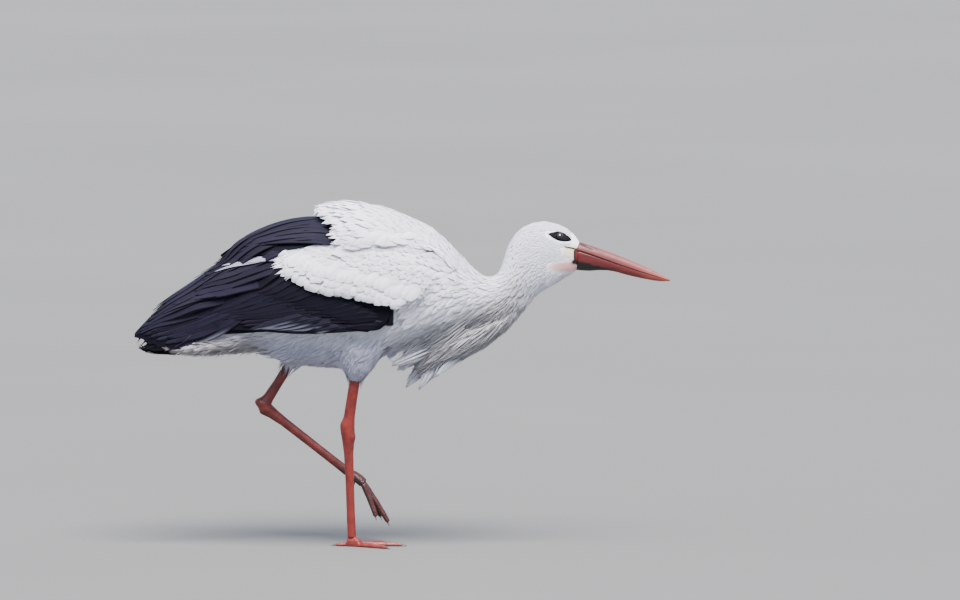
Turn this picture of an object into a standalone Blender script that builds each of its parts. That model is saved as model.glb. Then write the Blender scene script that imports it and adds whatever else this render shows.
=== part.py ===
"""White stork (Ciconia ciconia) in a slow walk, head low: a still model at life size.

The bird faces +X and stands on its right foot (the -Y side) with the left foot raised.
The origin is on the floor under the middle of the bounding box.  Metres, +Z up.

Three ways of shaping are used:
  barrel_ring()  rings stood up along X, for the trunk and the tail
  rib_ring()     rings that lean with the outline, for the head, neck and breast
  plate()        curved shells laid over the flank surface, for the folded wings
"""

import math

import bmesh
import bpy
import numpy as np
from mathutils import Vector

# ---------------------------------------------------------------- driving dimensions

GAP = 0.0003  # clear space between neighbouring pieces
COAT = 0.010  # how deep the wings and the back plumage lie over the trunk
MIDLINE = 0.0004  # half the clear space between the two wings, along the ridge

RIDGE_POWER = 2.2  # roundness of the flank surface above its widest line (2 is an ellipse)
HANG_POWER = 3.0  # roundness below it, where the wings hang almost straight
HANG = 0.16  # how far below the widest line that surface would close
COAT_FADE = (0.030, 0.100)  # where, towards the neck, the coat's depth runs out

# The flank surface, over which the folded wings lie: x, ridge height, height of the
# widest line, half width.
FLANK = (
    (-0.500, 0.366, 0.360, 0.008),
    (-0.470, 0.398, 0.380, 0.020),
    (-0.437, 0.433, 0.396, 0.032),
    (-0.400, 0.458, 0.405, 0.042),
    (-0.350, 0.494, 0.415, 0.053),
    (-0.300, 0.526, 0.425, 0.064),
    (-0.250, 0.552, 0.436, 0.077),
    (-0.200, 0.572, 0.448, 0.089),
    (-0.140, 0.586, 0.458, 0.100),
    (-0.070, 0.594, 0.464, 0.106),
    (0.000, 0.584, 0.464, 0.103),
    (0.060, 0.560, 0.462, 0.091),
    (0.106, 0.531, 0.458, 0.068),
)

TRUNK_REAR = -0.262
HIPS = -0.200  # behind these the trunk falls away under the wings
RUMP_FALL = 0.90  # how much the top drops, and
RUMP_DRAW = 0.04  # the sides draw in, for each metre behind the hips

# Under side of the trunk: x, height.
BELLY = (
    (-0.262, 0.352),
    (-0.206, 0.331),
    (-0.150, 0.323),
    (-0.090, 0.322),
    (-0.048, 0.333),
    (-0.013, 0.352),
    (0.040, 0.372),
    (0.106, 0.384),
)

# Tail and its coverts, held closed under the wing tips: x, top, height of the widest
# line, bottom, half width.
TAIL = (
    (-0.262, 0.470, 0.400, 0.352, 0.058),
    (-0.300, 0.440, 0.375, 0.349, 0.052),
    (-0.350, 0.403, 0.362, 0.346, 0.045),
    (-0.400, 0.380, 0.358, 0.347, 0.036),
    (-0.440, 0.366, 0.357, 0.350, 0.026),
    (-0.474, 0.361, 0.358, 0.356, 0.014),
)

TAIL_TIP = -0.474

# Head and neck as ribs: (x, z) on the crown side, (x, z) on the throat side, half width.
HEAD_RIBS = (
    ((0.3215, 0.5497), (0.3165, 0.5000), 0.0160),
    ((0.3120, 0.5630), (0.3090, 0.4920), 0.0188),
    ((0.2990, 0.5752), (0.2990, 0.4870), 0.0222),
    ((0.2838, 0.5827), (0.2880, 0.4800), 0.0252),
    ((0.2585, 0.5884), (0.2760, 0.4715), 0.0280),
    ((0.2356, 0.5850), (0.2650, 0.4655), 0.0296),
    ((0.2170, 0.5765), (0.2550, 0.4600), 0.0306),
)
NECK_RIBS = (
    ((0.2045, 0.5650), (0.2460, 0.4530), 0.0312),
    ((0.1950, 0.5500), (0.2370, 0.4440), 0.0322),
    ((0.1885, 0.5340), (0.2285, 0.4330), 0.0336),
    ((0.1832, 0.5150), (0.2185, 0.4220), 0.0356),
    ((0.1765, 0.4970), (0.2065, 0.4110), 0.0384),
    ((0.1650, 0.4860), (0.1900, 0.4020), 0.0425),
    ((0.1500, 0.4880), (0.1700, 0.3950), 0.0480),
    ((0.1310, 0.5040), (0.1420, 0.3900), 0.0560),
    ((0.1063, 0.5310), (0.1063, 0.3840), 0.0680),
)
NECK_SPLIT = 4  # the rib of NECK_RIBS where the upper neck ends

# Long plumes of the lower neck, lying back under the breast.
BREAST_RIBS = (
    ((0.2140, 0.4400), (0.2200, 0.4340), 0.010),
    ((0.1900, 0.4300), (0.2100, 0.4120), 0.030),
    ((0.1550, 0.4190), (0.1850, 0.3850), 0.043),
    ((0.1150, 0.4060), (0.1500, 0.3580), 0.050),
    ((0.0780, 0.3930), (0.1180, 0.3400), 0.050),
    ((0.0480, 0.3780), (0.0880, 0.3260), 0.043),
    ((0.0260, 0.3560), (0.0620, 0.3130), 0.032),
    ((0.0140, 0.3340), (0.0400, 0.3040), 0.018),
)
# Loose locks at their ends: root (x, y, z), tip (x, y, z), half width.
BREAST_LOCKS = (
    ((0.062, -0.010, 0.330), (0.0315, -0.012, 0.2850), 0.012),
    ((0.045, 0.008, 0.332), (0.0080, 0.008, 0.2870), 0.012),
    ((0.045, -0.024, 0.356), (-0.0170, -0.030, 0.3300), 0.012),
    ((0.040, 0.026, 0.350), (-0.0080, 0.030, 0.3160), 0.012),
    ((0.098, -0.020, 0.352), (0.0600, -0.026, 0.3090), 0.012),
    ((0.098, 0.020, 0.352), (0.0640, 0.026, 0.3120), 0.012),
)

# Bill, from the head to the tip: x, top, mouth line, bottom, half width.
BILL = (
    (0.3222, 0.5493, 0.5345, 0.4985, 0.0158),
    (0.3390, 0.5440, 0.5288, 0.4975, 0.0146),
    (0.3600, 0.5372, 0.5210, 0.4990, 0.0130),
    (0.3800, 0.5298, 0.5138, 0.4975, 0.0114),
    (0.4010, 0.5215, 0.5062, 0.4915, 0.0098),
    (0.4250, 0.5112, 0.4985, 0.4860, 0.0080),
    (0.4500, 0.5000, 0.4905, 0.4808, 0.0060),
    (0.4700, 0.4900, 0.4845, 0.4785, 0.0038),
    (0.4840, 0.4820, 0.4806, 0.4792, 0.0012),
)

LOWER_BILL = 0.96  # width of the lower bill as a share of the upper

EYE_PLACE = (0.2850, 0.0142, 0.5603)
EYE_RADIUS = 0.0085

# Legs: x, y, z, half width across the leg seen from the side, half width from the front.
RIGHT_LEG = (
    (-0.0830, -0.0360, 0.3030, 0.0088, 0.0078),
    (-0.0895, -0.0320, 0.2620, 0.0090, 0.0076),
    (-0.0930, -0.0290, 0.2370, 0.0094, 0.0082),
    (-0.0958, -0.0268, 0.2230, 0.0118, 0.0104),
    (-0.0962, -0.0258, 0.2100, 0.0120, 0.0106),
    (-0.0950, -0.0246, 0.1930, 0.0104, 0.0090),
    (-0.0944, -0.0225, 0.1700, 0.0080, 0.0068),
    (-0.0926, -0.0170, 0.1200, 0.0070, 0.0060),
    (-0.0908, -0.0110, 0.0600, 0.0069, 0.0060),
    (-0.0890, -0.0075, 0.0170, 0.0078, 0.0078),
)
LEFT_LEG = (
    (-0.2040, 0.0450, 0.3210, 0.0082, 0.0074),
    (-0.2240, 0.0455, 0.2890, 0.0080, 0.0072),
    (-0.2400, 0.0460, 0.2640, 0.0092, 0.0082),
    (-0.2480, 0.0460, 0.2540, 0.0124, 0.0104),
    (-0.2450, 0.0460, 0.2440, 0.0124, 0.0106),
    (-0.2330, 0.0460, 0.2360, 0.0098, 0.0088),
    (-0.2130, 0.0455, 0.2210, 0.0078, 0.0068),
    (-0.1600, 0.0445, 0.1795, 0.0072, 0.0062),
    (-0.1150, 0.0435, 0.1440, 0.0072, 0.0062),
    (-0.0930, 0.0430, 0.1270, 0.0078, 0.0080),
)
LEG_CUTS = (0, 2, 5, 9)  # ribs that bound the tibia, the hock and the tarsus

# Feathered thighs: x, y, z, half width from the side, half width from the front.
RIGHT_THIGH = (
    (-0.0700, -0.0480, 0.4000, 0.050, 0.034),
    (-0.0740, -0.0460, 0.3600, 0.044, 0.032),
    (-0.0780, -0.0420, 0.3300, 0.030, 0.025),
    (-0.0810, -0.0380, 0.3130, 0.019, 0.017),
    (-0.0830, -0.0360, 0.3034, 0.012, 0.011),
)
LEFT_THIGH = (
    (-0.1200, 0.0500, 0.4000, 0.050, 0.034),
    (-0.1500, 0.0490, 0.3680, 0.040, 0.031),
    (-0.1780, 0.0470, 0.3460, 0.026, 0.023),
    (-0.1930, 0.0460, 0.3330, 0.017, 0.015),
    (-0.2036, 0.0450, 0.3216, 0.011, 0.010),
)

# Toes of one foot: name, heading in degrees from straight ahead (positive towards the
# midline), length with its claw, half width at the root.
TOES = (
    ("inner", 36, 0.070, 0.0052),
    ("middle", 0, 0.090, 0.0056),
    ("outer", -36, 0.076, 0.0052),
    ("hind", 172, 0.034, 0.0046),
)
CLAW = 0.0095
PALM_FRONT = 0.0185
PALM_BACK = 0.0098
PALM_HEIGHT = 0.0165
FOOT_AT = (-0.0885, -0.0075)

# Palm of the raised foot, on from the end of the left leg, in the same terms.
RAISED_PALM = (
    (-0.0835, 0.0430, 0.1215, 0.0082, 0.0110),
    (-0.0750, 0.0430, 0.1160, 0.0078, 0.0146),
    (-0.0695, 0.0430, 0.1100, 0.0070, 0.0152),
)
# Hanging toes of the raised foot: name, offset across, slope in degrees, droop along
# the toe in degrees, splay in degrees.
HANGING_TOES = (
    ("inner", -0.0098, -65, -6, -3),
    ("middle", 0.0000, -54, -6, 0),
    ("outer", 0.0098, -59, -6, 3),
)

# ---------------------------------------------------------------- colours

WHITE = ("plumage_white", (0.80, 0.79, 0.78), 0.85)
BLACK = ("plumage_black", (0.022, 0.020, 0.028), 0.55)
RED = ("leg_skin", (0.52, 0.085, 0.055), 0.55)
BILL_RED = ("bill_horn", (0.55, 0.13, 0.09), 0.40)
CLAW_DARK = ("claw_horn", (0.060, 0.035, 0.030), 0.45)
EYE_DARK = ("eye_dark", (0.012, 0.009, 0.008), 0.08)


# ---------------------------------------------------------------- general helpers


def smooth(knots):
    """Return a smooth function through knots (x, value, ...), steady past both ends."""
    table = np.array(sorted(knots), dtype=float)
    xs, values = table[:, 0], table[:, 1:]
    slopes = np.gradient(values, xs, axis=0)

    def at(x):
        x = min(max(x, xs[0]), xs[-1])
        i = min(int(np.searchsorted(xs, x, side="right")) - 1, len(xs) - 2)
        step = xs[i + 1] - xs[i]
        t = (x - xs[i]) / step
        near = (1 + 2 * t) * (1 - t) ** 2 * values[i] + t * (1 - t) ** 2 * step * slopes[i]
        far = t * t * (3 - 2 * t) * values[i + 1] + t * t * (t - 1) * step * slopes[i + 1]
        result = near + far
        return float(result[0]) if len(result) == 1 else result

    return at


def blend(a, b, t):
    return a + (b - a) * t


def coat_depth(x):
    """How deep the wings and the back plumage lie over the trunk at x."""
    return COAT * (1 - ease(*COAT_FADE, x))


def ease(low, high, x):
    """Go smoothly from 0 at low to 1 at high."""
    t = min(max((x - low) / (high - low), 0.0), 1.0)
    return t * t * (3 - 2 * t)


def material(look):
    name, colour, roughness = look
    found = bpy.data.materials.get(name)
    if found:
        return found
    made = bpy.data.materials.new(name)
    made.use_nodes = True
    shader = made.node_tree.nodes["Principled BSDF"]
    shader.inputs["Base Color"].default_value = (*colour, 1.0)
    shader.inputs["Roughness"].default_value = roughness
    shader.inputs["Metallic"].default_value = 0.0
    made.diffuse_color = (*colour, 1.0)
    return made


def add_object(name, mesh_data, look, sharp=40):
    """Put a bmesh into the scene as an object with outward flat faces, shaded smooth."""
    bmesh.ops.triangulate(mesh_data, faces=mesh_data.faces)
    bmesh.ops.recalc_face_normals(mesh_data, faces=mesh_data.faces)
    mesh = bpy.data.meshes.new(name)
    mesh_data.to_mesh(mesh)
    mesh_data.free()
    mesh.shade_smooth()
    mesh.set_sharp_from_angle(angle=math.radians(sharp))
    mesh.materials.append(material(look))
    made = bpy.data.objects.new(name, mesh)
    bpy.context.scene.collection.objects.link(made)
    return made


def stack_rings(rings):
    """Join rings of points, all of one count, into a closed bmesh with flat ends."""
    made = bmesh.new()
    rows = [[made.verts.new(point) for point in ring] for ring in rings]
    count = len(rows[0])
    for low, high in zip(rows, rows[1:]):
        for i in range(count):
            j = (i + 1) % count
            made.faces.new((low[i], low[j], high[j], high[i]))
    made.faces.new(rows[0][::-1])
    made.faces.new(rows[-1])
    return made


def grown(source, by):
    """Return a copy of an object's mesh with its faces moved outwards, as a cutter."""
    swollen = bmesh.new()
    swollen.from_mesh(source.data)
    bmesh.ops.triangulate(swollen, faces=swollen.faces)
    swollen.normal_update()
    moves = [v.normal * min(v.calc_shell_factor(), 3.0) * by for v in swollen.verts]
    for vert, move in zip(swollen.verts, moves):
        vert.co += move
    mesh = bpy.data.meshes.new(source.name + "_cutter")
    swollen.to_mesh(mesh)
    swollen.free()
    made = bpy.data.objects.new(source.name + "_cutter", mesh)
    bpy.context.scene.collection.objects.link(made)
    return made


def combine(target, other, operation):
    """Apply an exact Boolean to the target, then remove the other object."""
    step = target.modifiers.new("combine", "BOOLEAN")
    step.operation = operation
    step.solver = "EXACT"
    step.object = other
    graph = bpy.context.evaluated_depsgraph_get()
    result = bpy.data.meshes.new_from_object(target.evaluated_get(graph))
    target.modifiers.remove(step)
    target.data = result
    bpy.data.objects.remove(other)


def make_room(target, neighbour):
    """Cut the neighbour's shape, with the usual gap, out of the target."""
    combine(target, grown(neighbour, GAP), "DIFFERENCE")


# ---------------------------------------------------------------- barrels and ribs


def barrel_ring(x, top, side, bottom, half, sides, power=2.2):
    """A standing ring whose widest line is at its own height."""
    ring = []
    for i in range(sides):
        angle = 2 * math.pi * i / sides
        across = math.copysign(abs(math.sin(angle)) ** (2 / power), math.sin(angle))
        rise = math.copysign(abs(math.cos(angle)) ** (2 / power), math.cos(angle))
        reach = top - side if rise > 0 else side - bottom
        ring.append((x, half * across, side + reach * rise))
    return ring


def rib_ring(upper, lower, half, sides, y=0.0):
    """A ring that leans in the XZ plane between an upper and a lower outline point."""
    middle = (np.array(upper) + np.array(lower)) / 2
    reach = (np.array(upper) - np.array(lower)) / 2
    ring = []
    for i in range(sides):
        angle = 2 * math.pi * i / sides
        place = middle + reach * math.cos(angle)
        ring.append((place[0], y + half * math.sin(angle), place[1]))
    return ring


def limb_rings(path, sides):
    """Rings square to a path of (x, y, z, half width along, half width across)."""
    points = [Vector(p[:3]) for p in path]
    rings = []
    for k, point in enumerate(points):
        before = points[max(k - 1, 0)]
        after = points[min(k + 1, len(points) - 1)]
        along = (after - before).normalized()
        fore = Vector((0, 1, 0)).cross(along).normalized()
        out = along.cross(fore).normalized()
        deep, wide = path[k][3:]
        ring = []
        for i in range(sides):
            angle = 2 * math.pi * i / sides
            ring.append(point + fore * deep * math.cos(angle) + out * wide * math.sin(angle))
        rings.append(ring)
    return rings


def part_rings(rings, cuts):
    """Split a run of rings at the cuts, leaving the usual gap at each."""
    pieces = []
    for first, last in zip(cuts, cuts[1:]):
        piece = [np.array(ring, dtype=float) for ring in rings[first : last + 1]]
        piece[0] = trimmed(piece[0], piece[1])
        piece[-1] = trimmed(piece[-1], piece[-2])
        pieces.append(piece)
    return pieces


def trimmed(ring, towards):
    """Move a ring half a gap square to its own plane, towards its neighbour."""
    middle = ring.mean(axis=0)
    count = len(ring)
    normal = np.cross(ring[0] - middle, ring[count // 4] - middle)
    normal /= np.linalg.norm(normal)
    if np.dot(towards.mean(axis=0) - middle, normal) < 0:
        normal = -normal
    return ring + normal * GAP / 2


# ---------------------------------------------------------------- trunk, tail, head, neck


def make_trunk():
    flank = smooth(FLANK)
    belly = smooth(BELLY)
    rings = []
    for x in np.linspace(TRUNK_REAR, FLANK[-1][0], 15):
        top, side, half = flank(x)
        rump = max(0.0, HIPS - x)
        height = top - coat_depth(x) - RUMP_FALL * rump
        width = half - coat_depth(x) - RUMP_DRAW * rump
        rings.append(barrel_ring(x, height, side, belly(x), width, 20))
    rings[0] = [tuple(p) for p in trimmed(np.array(rings[0]), np.array(rings[1]))]
    rings[-1] = [tuple(p) for p in trimmed(np.array(rings[-1]), np.array(rings[-2]))]
    return add_object("trunk", stack_rings(rings), WHITE)


def make_tail():
    """The closed tail with its coverts."""
    form = smooth(TAIL)
    rings = []
    for x in np.linspace(TRUNK_REAR - GAP, TAIL_TIP, 9):
        rings.append(barrel_ring(x, *form(x), sides=14, power=2.0))
    return add_object("tail", stack_rings(rings), WHITE)


def make_head_and_neck():
    sides = 20
    head = [rib_ring(*rib, sides) for rib in HEAD_RIBS]
    neck = [rib_ring(*rib, sides) for rib in NECK_RIBS]
    split = len(head)
    cuts = (0, split, split + NECK_SPLIT, len(head) + len(neck) - 1)
    pieces = part_rings(head + neck, cuts)
    made = []
    for name, rings in zip(("head", "neck_upper", "neck_lower"), pieces):
        made.append(add_object(name, stack_rings(rings), WHITE))
    return made


def make_breast():
    """The bundle of long neck plumes, with its loose locks joined on."""
    rings = [rib_ring(*rib, 16) for rib in BREAST_RIBS]
    breast = add_object("breast_plumes", stack_rings(rings), WHITE)
    for i, (root, tip, half) in enumerate(BREAST_LOCKS):
        root, tip = Vector(root), Vector(tip)
        middle = root.lerp(tip, 0.5)
        point = root.lerp(tip, 0.985)
        path = (
            (*root, half, half),
            (*middle, half * 0.85, half * 0.7),
            (*point, 0.0012, 0.0012),
        )
        lock = add_object(f"lock_{i}", stack_rings(limb_rings(path, 6)), WHITE)
        combine(breast, lock, "UNION")
    return breast


# ---------------------------------------------------------------- bill and eyes


def half_ring(x, flat, reach, half, sides):
    """A bill section: an arc from a flat mouth face, above it or, if reach < 0, below."""
    ring = []
    for i in range(sides + 1):
        angle = math.pi * i / sides
        rise = reach * math.sin(angle)
        ring.append((x, half * math.cos(angle), flat + rise))
    return ring


def make_bill():
    form = smooth(BILL)
    stations = np.linspace(BILL[0][0], BILL[-1][0], 11)
    upper, lower = [], []
    for x in stations:
        top, mouth, bottom, half = form(x)
        upper.append(half_ring(x, mouth + GAP / 2, top - mouth - GAP / 2, half, 8))
        lower.append(half_ring(x, mouth - GAP / 2, bottom - mouth + GAP / 2, half * LOWER_BILL, 8))
    add_object("bill_upper", stack_rings(upper), BILL_RED)
    add_object("bill_lower", stack_rings(lower), BILL_RED)


def make_eyes(head):
    for name, side in (("eye_right", -1), ("eye_left", 1)):
        ball = bmesh.new()
        bmesh.ops.create_uvsphere(ball, u_segments=12, v_segments=7, radius=EYE_RADIUS)
        x, y, z = EYE_PLACE
        bmesh.ops.rotate(ball, verts=ball.verts, matrix=quarter_turn())
        bmesh.ops.translate(ball, verts=ball.verts, vec=(x, side * y, z))
        eye = add_object(name, ball, EYE_DARK)
        make_room(head, eye)


def quarter_turn():
    """A turn that lays the eyeball's poles along Y."""
    return Vector((0, 0, 1)).rotation_difference(Vector((0, 1, 0))).to_matrix()


# ---------------------------------------------------------------- plates over the flanks

flank_at = smooth(FLANK)


def flank_point(x, angle, lift, side):
    """A point on the flank surface: angle 0 is the ridge, pi / 2 the widest line."""
    top, level, half = flank_at(x)
    above = math.cos(angle) >= 0
    power = RIDGE_POWER if above else HANG_POWER
    reach = top - level if above else HANG
    across = math.sin(angle) ** (2 / power)
    rise = math.copysign(abs(math.cos(angle)) ** (2 / power), math.cos(angle))
    normal_y = across ** (power - 1) / half
    normal_z = math.copysign(abs(rise) ** (power - 1), rise) / reach
    length = math.hypot(normal_y, normal_z)
    y = half * across + lift * normal_y / length
    z = level + reach * rise + lift * normal_z / length
    return (x, side * max(y, MIDLINE / 2), z)


def flank_angle(x, z):
    """The angle at which the flank surface passes height z."""
    top, level, _ = flank_at(x)
    above = z >= level
    power = RIDGE_POWER if above else HANG_POWER
    reach = top - level if above else HANG
    share = min(abs(z - level) / reach, 1.0) ** (power / 2)
    return math.acos(share if above else -share)


def ridge_angle(x):
    """The angle at which the flank surface leaves the clear space along the midline."""
    half = flank_at(x)[2]
    return math.asin((MIDLINE / half) ** (RIDGE_POWER / 2))


def close_shell(outer, inner):
    """Join two grids of points, of one size, into a closed thin solid."""
    made = bmesh.new()
    skins = [[[made.verts.new(p) for p in row] for row in grid] for grid in (outer, inner)]
    rows, columns = len(outer), len(outer[0])
    for k, skin in enumerate(skins):
        for i in range(rows - 1):
            for j in range(columns - 1):
                face = [skin[i][j], skin[i + 1][j], skin[i + 1][j + 1], skin[i][j + 1]]
                made.faces.new(face if k == 0 else face[::-1])
    edge = [(i, 0) for i in range(rows)] + [(rows - 1, j) for j in range(1, columns)]
    edge += [(i, columns - 1) for i in range(rows - 2, -1, -1)]
    edge += [(0, j) for j in range(columns - 2, 0, -1)]
    for (a, b), (c, d) in zip(edge, edge[1:] + edge[:1]):
        made.faces.new((skins[0][a][b], skins[1][a][b], skins[1][c][d], skins[0][c][d]))
    return made


def plate(name, upper, lower, rows, lifts, look, side):
    """A shell over one flank between an upper and a lower edge, each a list of (x, z).

    A z of None is the ridge.  lifts(x, t) gives the inner and outer lift at a share t
    of the way from the upper edge to the lower one.
    """
    outer, inner = [], []
    for (upper_x, upper_z), (lower_x, lower_z) in zip(upper, lower):
        first = ridge_angle(upper_x) if upper_z is None else flank_angle(upper_x, upper_z)
        last = flank_angle(lower_x, lower_z)
        outer.append([])
        inner.append([])
        for j in range(rows + 1):
            t = j / rows
            x = blend(upper_x, lower_x, t)
            angle = blend(first, last, t)
            low, high = lifts(x, t)
            outer[-1].append(flank_point(x, angle, high, side))
            inner[-1].append(flank_point(x, angle, low, side))
    return add_object(name, close_shell(outer, inner), look)


def thinned(x):
    """How much of their full thickness the wings keep towards their tips."""
    return blend(0.30, 1.0, ease(-0.48, -0.34, x))


# ---------------------------------------------------------------- folded wings


def scalloped(low, high, count, edge, depth):
    """Points along an edge curve with rounded feather ends and a notch between them."""
    points = []
    width = (high - low) / count
    for i in range(count):
        for share, drop in ((0.0, 1.0), (0.5, 0.0)):
            x = low + width * (i + share)
            points.append((x, edge(x) + depth * drop))
    points.append((high, edge(high) + depth))
    return points


def make_coverts(label, side):
    edge = smooth(
        (
            (-0.205, 0.497),
            (-0.175, 0.481),
            (-0.141, 0.466),
            (-0.096, 0.462),
            (-0.058, 0.449),
            (-0.013, 0.437),
            (0.020, 0.446),
            (0.050, 0.472),
            (0.066, 0.498),
        )
    )
    crest = smooth(
        (
            (-0.205, 0.544),
            (-0.130, 0.556),
            (-0.050, 0.550),
            (0.030, 0.540),
            (0.066, 0.520),
        )
    )
    lower = scalloped(-0.205, 0.066, 13, edge, 0.0045)
    upper = [(x, crest(x)) for x, _ in lower]

    def lifts(x, t):
        """Tucked under at the top, full in the middle, thin where it ends in front."""
        front = ease(0.068, 0.020, x)
        low = blend(-COAT + GAP * 2, -0.0024, ease(0.30, 0.62, t) * front)
        high = blend(-0.0012, 0.0048, ease(0.0, 0.25, t))
        low = max(low, GAP * 2 - coat_depth(x))
        return low, blend(low + 0.0012, high, front)

    return plate(f"wing_coverts_{label}", upper, lower, 4, lifts, WHITE, side)


def make_secondaries(label, side):
    lower = (
        (-0.0160, 0.4280),
        (-0.0280, 0.4110),
        (-0.0600, 0.3950),
        (-0.0900, 0.3990),
        (-0.1250, 0.4000),
        (-0.1650, 0.3960),
        (-0.2050, 0.3940),
        (-0.2450, 0.3950),
        (-0.2850, 0.3960),
        (-0.3200, 0.3960),
        (-0.3360, 0.4070),
    )
    upper = (
        (-0.0180, 0.4460),
        (-0.0400, 0.4530),
        (-0.0700, 0.4640),
        (-0.1000, 0.4720),
        (-0.1300, 0.4780),
        (-0.1600, 0.4850),
        (-0.1850, 0.4980),
        (-0.2050, 0.5080),
        (-0.2250, 0.5160),
        (-0.2450, 0.5160),
        (-0.2700, 0.5080),
    )

    def lifts(x, t):
        base = blend(-0.0063, -COAT + GAP * 2, ease(-0.20, -0.17, x))
        return base * thinned(x), -0.0030 * thinned(x)

    return plate(f"wing_secondaries_{label}", upper, lower, 7, lifts, BLACK, side)


def make_tertials(label, side):
    """Three broad feathers over the rear of the wing, with stepped tips along the ridge."""
    upper = []
    lower = []
    steps = ((-0.205, 0.500), (-0.250, 0.486), (-0.300, 0.465), (-0.345, 0.443), (-0.385, 0.432))
    for x, z in steps:
        upper.append((x, None))
        lower.append((x - 0.012, z))
    upper += [(-0.410, None), (-0.424, None)]
    lower += [(-0.412, 0.430), (-0.430, 0.436)]

    def lifts(x, t):
        return -0.0024 * thinned(x), 0.0008 * thinned(x)

    return plate(f"wing_tertials_{label}", upper, lower, 5, lifts, BLACK, side)


def make_primaries(label, side):
    """The long feathers whose tips form the rear point of the wing."""
    lower = (
        (-0.2050, 0.3960),
        (-0.2500, 0.3930),
        (-0.3000, 0.3890),
        (-0.3400, 0.3870),
        (-0.3620, 0.3850),
        (-0.3900, 0.3690),
        (-0.4130, 0.3580),
        (-0.4220, 0.3640),
        (-0.4360, 0.3610),
        (-0.4440, 0.3680),
        (-0.4560, 0.3670),
        (-0.4640, 0.3760),
        (-0.4800, 0.3800),
    )
    spread = np.linspace(-0.215, -0.478, len(lower))
    upper = [(x, None) for x in spread]

    def lifts(x, t):
        keep = thinned(x)
        return (-COAT + GAP * 2) * keep, -0.0068 * keep

    return plate(f"wing_primaries_{label}", upper, lower, 6, lifts, BLACK, side)


def make_scapulars(label, side):
    """The long black shoulder feathers that lie back from under the white mantle."""
    front = -0.098
    edge = smooth(
        (
            (front, 0.5560),
            (-0.165, 0.5450),
            (-0.235, 0.5290),
            (-0.298, 0.5200),
            (-0.318, 0.5210),
        )
    )
    crest = smooth(
        (
            (-0.326, 0.0180),
            (-0.290, 0.0200),
            (-0.235, 0.0200),
            (-0.190, 0.0160),
            (-0.150, 0.0090),
            (front, 0.0062),
        )
    )
    lower = [(x, edge(x)) for x in np.linspace(front, -0.318, 8)]
    upper = [(x, None) for x in np.linspace(front, -0.325, 8)]

    def lifts(x, t):
        low = blend(0.0019, 0.0058, ease(0.55, 0.85, t))
        high = blend(crest(x), 0.0080, t ** 1.5)
        high = blend(0.0080, high, blend(0.75, 1.0, ease(-0.335, -0.300, x)))
        return blend(high - 0.0030, low, ease(-0.325, -0.285, x)), high

    return plate(f"scapulars_{label}", upper, lower, 5, lifts, BLACK, side)


# ---------------------------------------------------------------- mantle


def make_mantle():
    """The ruffled white feathers of the upper back, over both shoulders."""
    tips = (-0.1440, -0.1160, -0.0760, -0.0420)  # where feather ends break the outline
    crest = smooth(
        (
            (-0.160, 0.024),
            (-0.144, 0.032),
            (-0.116, 0.030),
            (-0.076, 0.030),
            (-0.042, 0.0255),
            (0.022, 0.016),
            (0.060, 0.014),
            (0.098, 0.0015),
        )
    )
    edge = smooth(
        (
            (-0.160, 0.552),
            (-0.110, 0.550),
            (-0.050, 0.545),
            (0.020, 0.545),
            (0.070, 0.530),
            (0.098, 0.500),
        )
    )
    lanes = 12
    places = [-0.158]
    for tip in tips:
        places += [tip - 0.004, tip]
    places += [-0.012, 0.022, 0.052, 0.078, 0.098]
    outer, inner = [], []
    for k, station in enumerate(places):
        outer.append([])
        inner.append([])
        for j in range(lanes + 1):
            across = 2 * j / lanes - 1
            x = mantle_place(station, across, j, k)
            angle = abs(across) * flank_angle(x, edge(x))
            side = -1 if across < 0 else 1
            notch = 0.0035 if any(abs(station - tip + 0.004) < 1e-6 for tip in tips) else 0.0
            margin = blend(0.0115, 0.0062, ease(-0.090, -0.030, x))
            high = blend(crest(x) - notch, margin, across ** 2)
            low = mantle_floor(x, abs(across))
            high = max(high, low + 0.0012)
            outer[-1].append(ridge_point(x, angle, high, side))
            inner[-1].append(ridge_point(x, angle, low, side))
    return add_object("mantle", close_shell(outer, inner), WHITE)


def mantle_place(station, across, lane, column):
    """Shift the rear columns forwards at the sides, with a tip on every other lane."""
    reach = ease(-0.05, -0.158, station)
    side_shift = 0.036 * ease(0.1, 0.8, abs(across)) * reach
    jag = 0.007 * (lane % 2) * ease(-0.12, -0.158, station)
    return station + side_shift + jag


def mantle_floor(x, across):
    """The under side: over the scapulars behind, down on the trunk ahead of them."""
    on_trunk = GAP * 2 - coat_depth(x)
    over_coverts = max(0.0016, on_trunk)
    ahead = blend(on_trunk, over_coverts, ease(0.60, 0.85, across))
    return blend(0.0040, ahead, ease(-0.098, -0.070, x))


def ridge_point(x, angle, lift, side):
    """A flank point that may lie on the midline itself."""
    point = flank_point(x, max(angle, 1e-4), lift, side)
    if angle < 1e-3:
        return (point[0], 0.0, point[2])
    return point


# ---------------------------------------------------------------- legs and feet


def make_leg(label, leg, thigh):
    pieces = part_rings(limb_rings(leg, 12), LEG_CUTS)
    made = []
    for name, rings in zip(("tibia", "hock", "tarsus"), pieces):
        made.append(add_object(f"{name}_{label}", stack_rings(rings), RED))
    feathered = add_object(f"thigh_{label}", stack_rings(limb_rings(thigh, 14)), WHITE)
    make_room(feathered, made[0])
    return feathered


def sole_ring(place, ahead, up, half, height):
    """A toe section with a flat sole: place is the middle of the sole."""
    out = ahead.cross(up).normalized()
    left = ((-0.72, 0.0), (-1.0, 0.38), (-0.62, 0.88))
    right = [(-u, v) for u, v in reversed(left)]
    outline = (*left, (0.0, 1.0), *right)
    return [place + out * half * u + up * height * v for u, v in outline]


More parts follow.
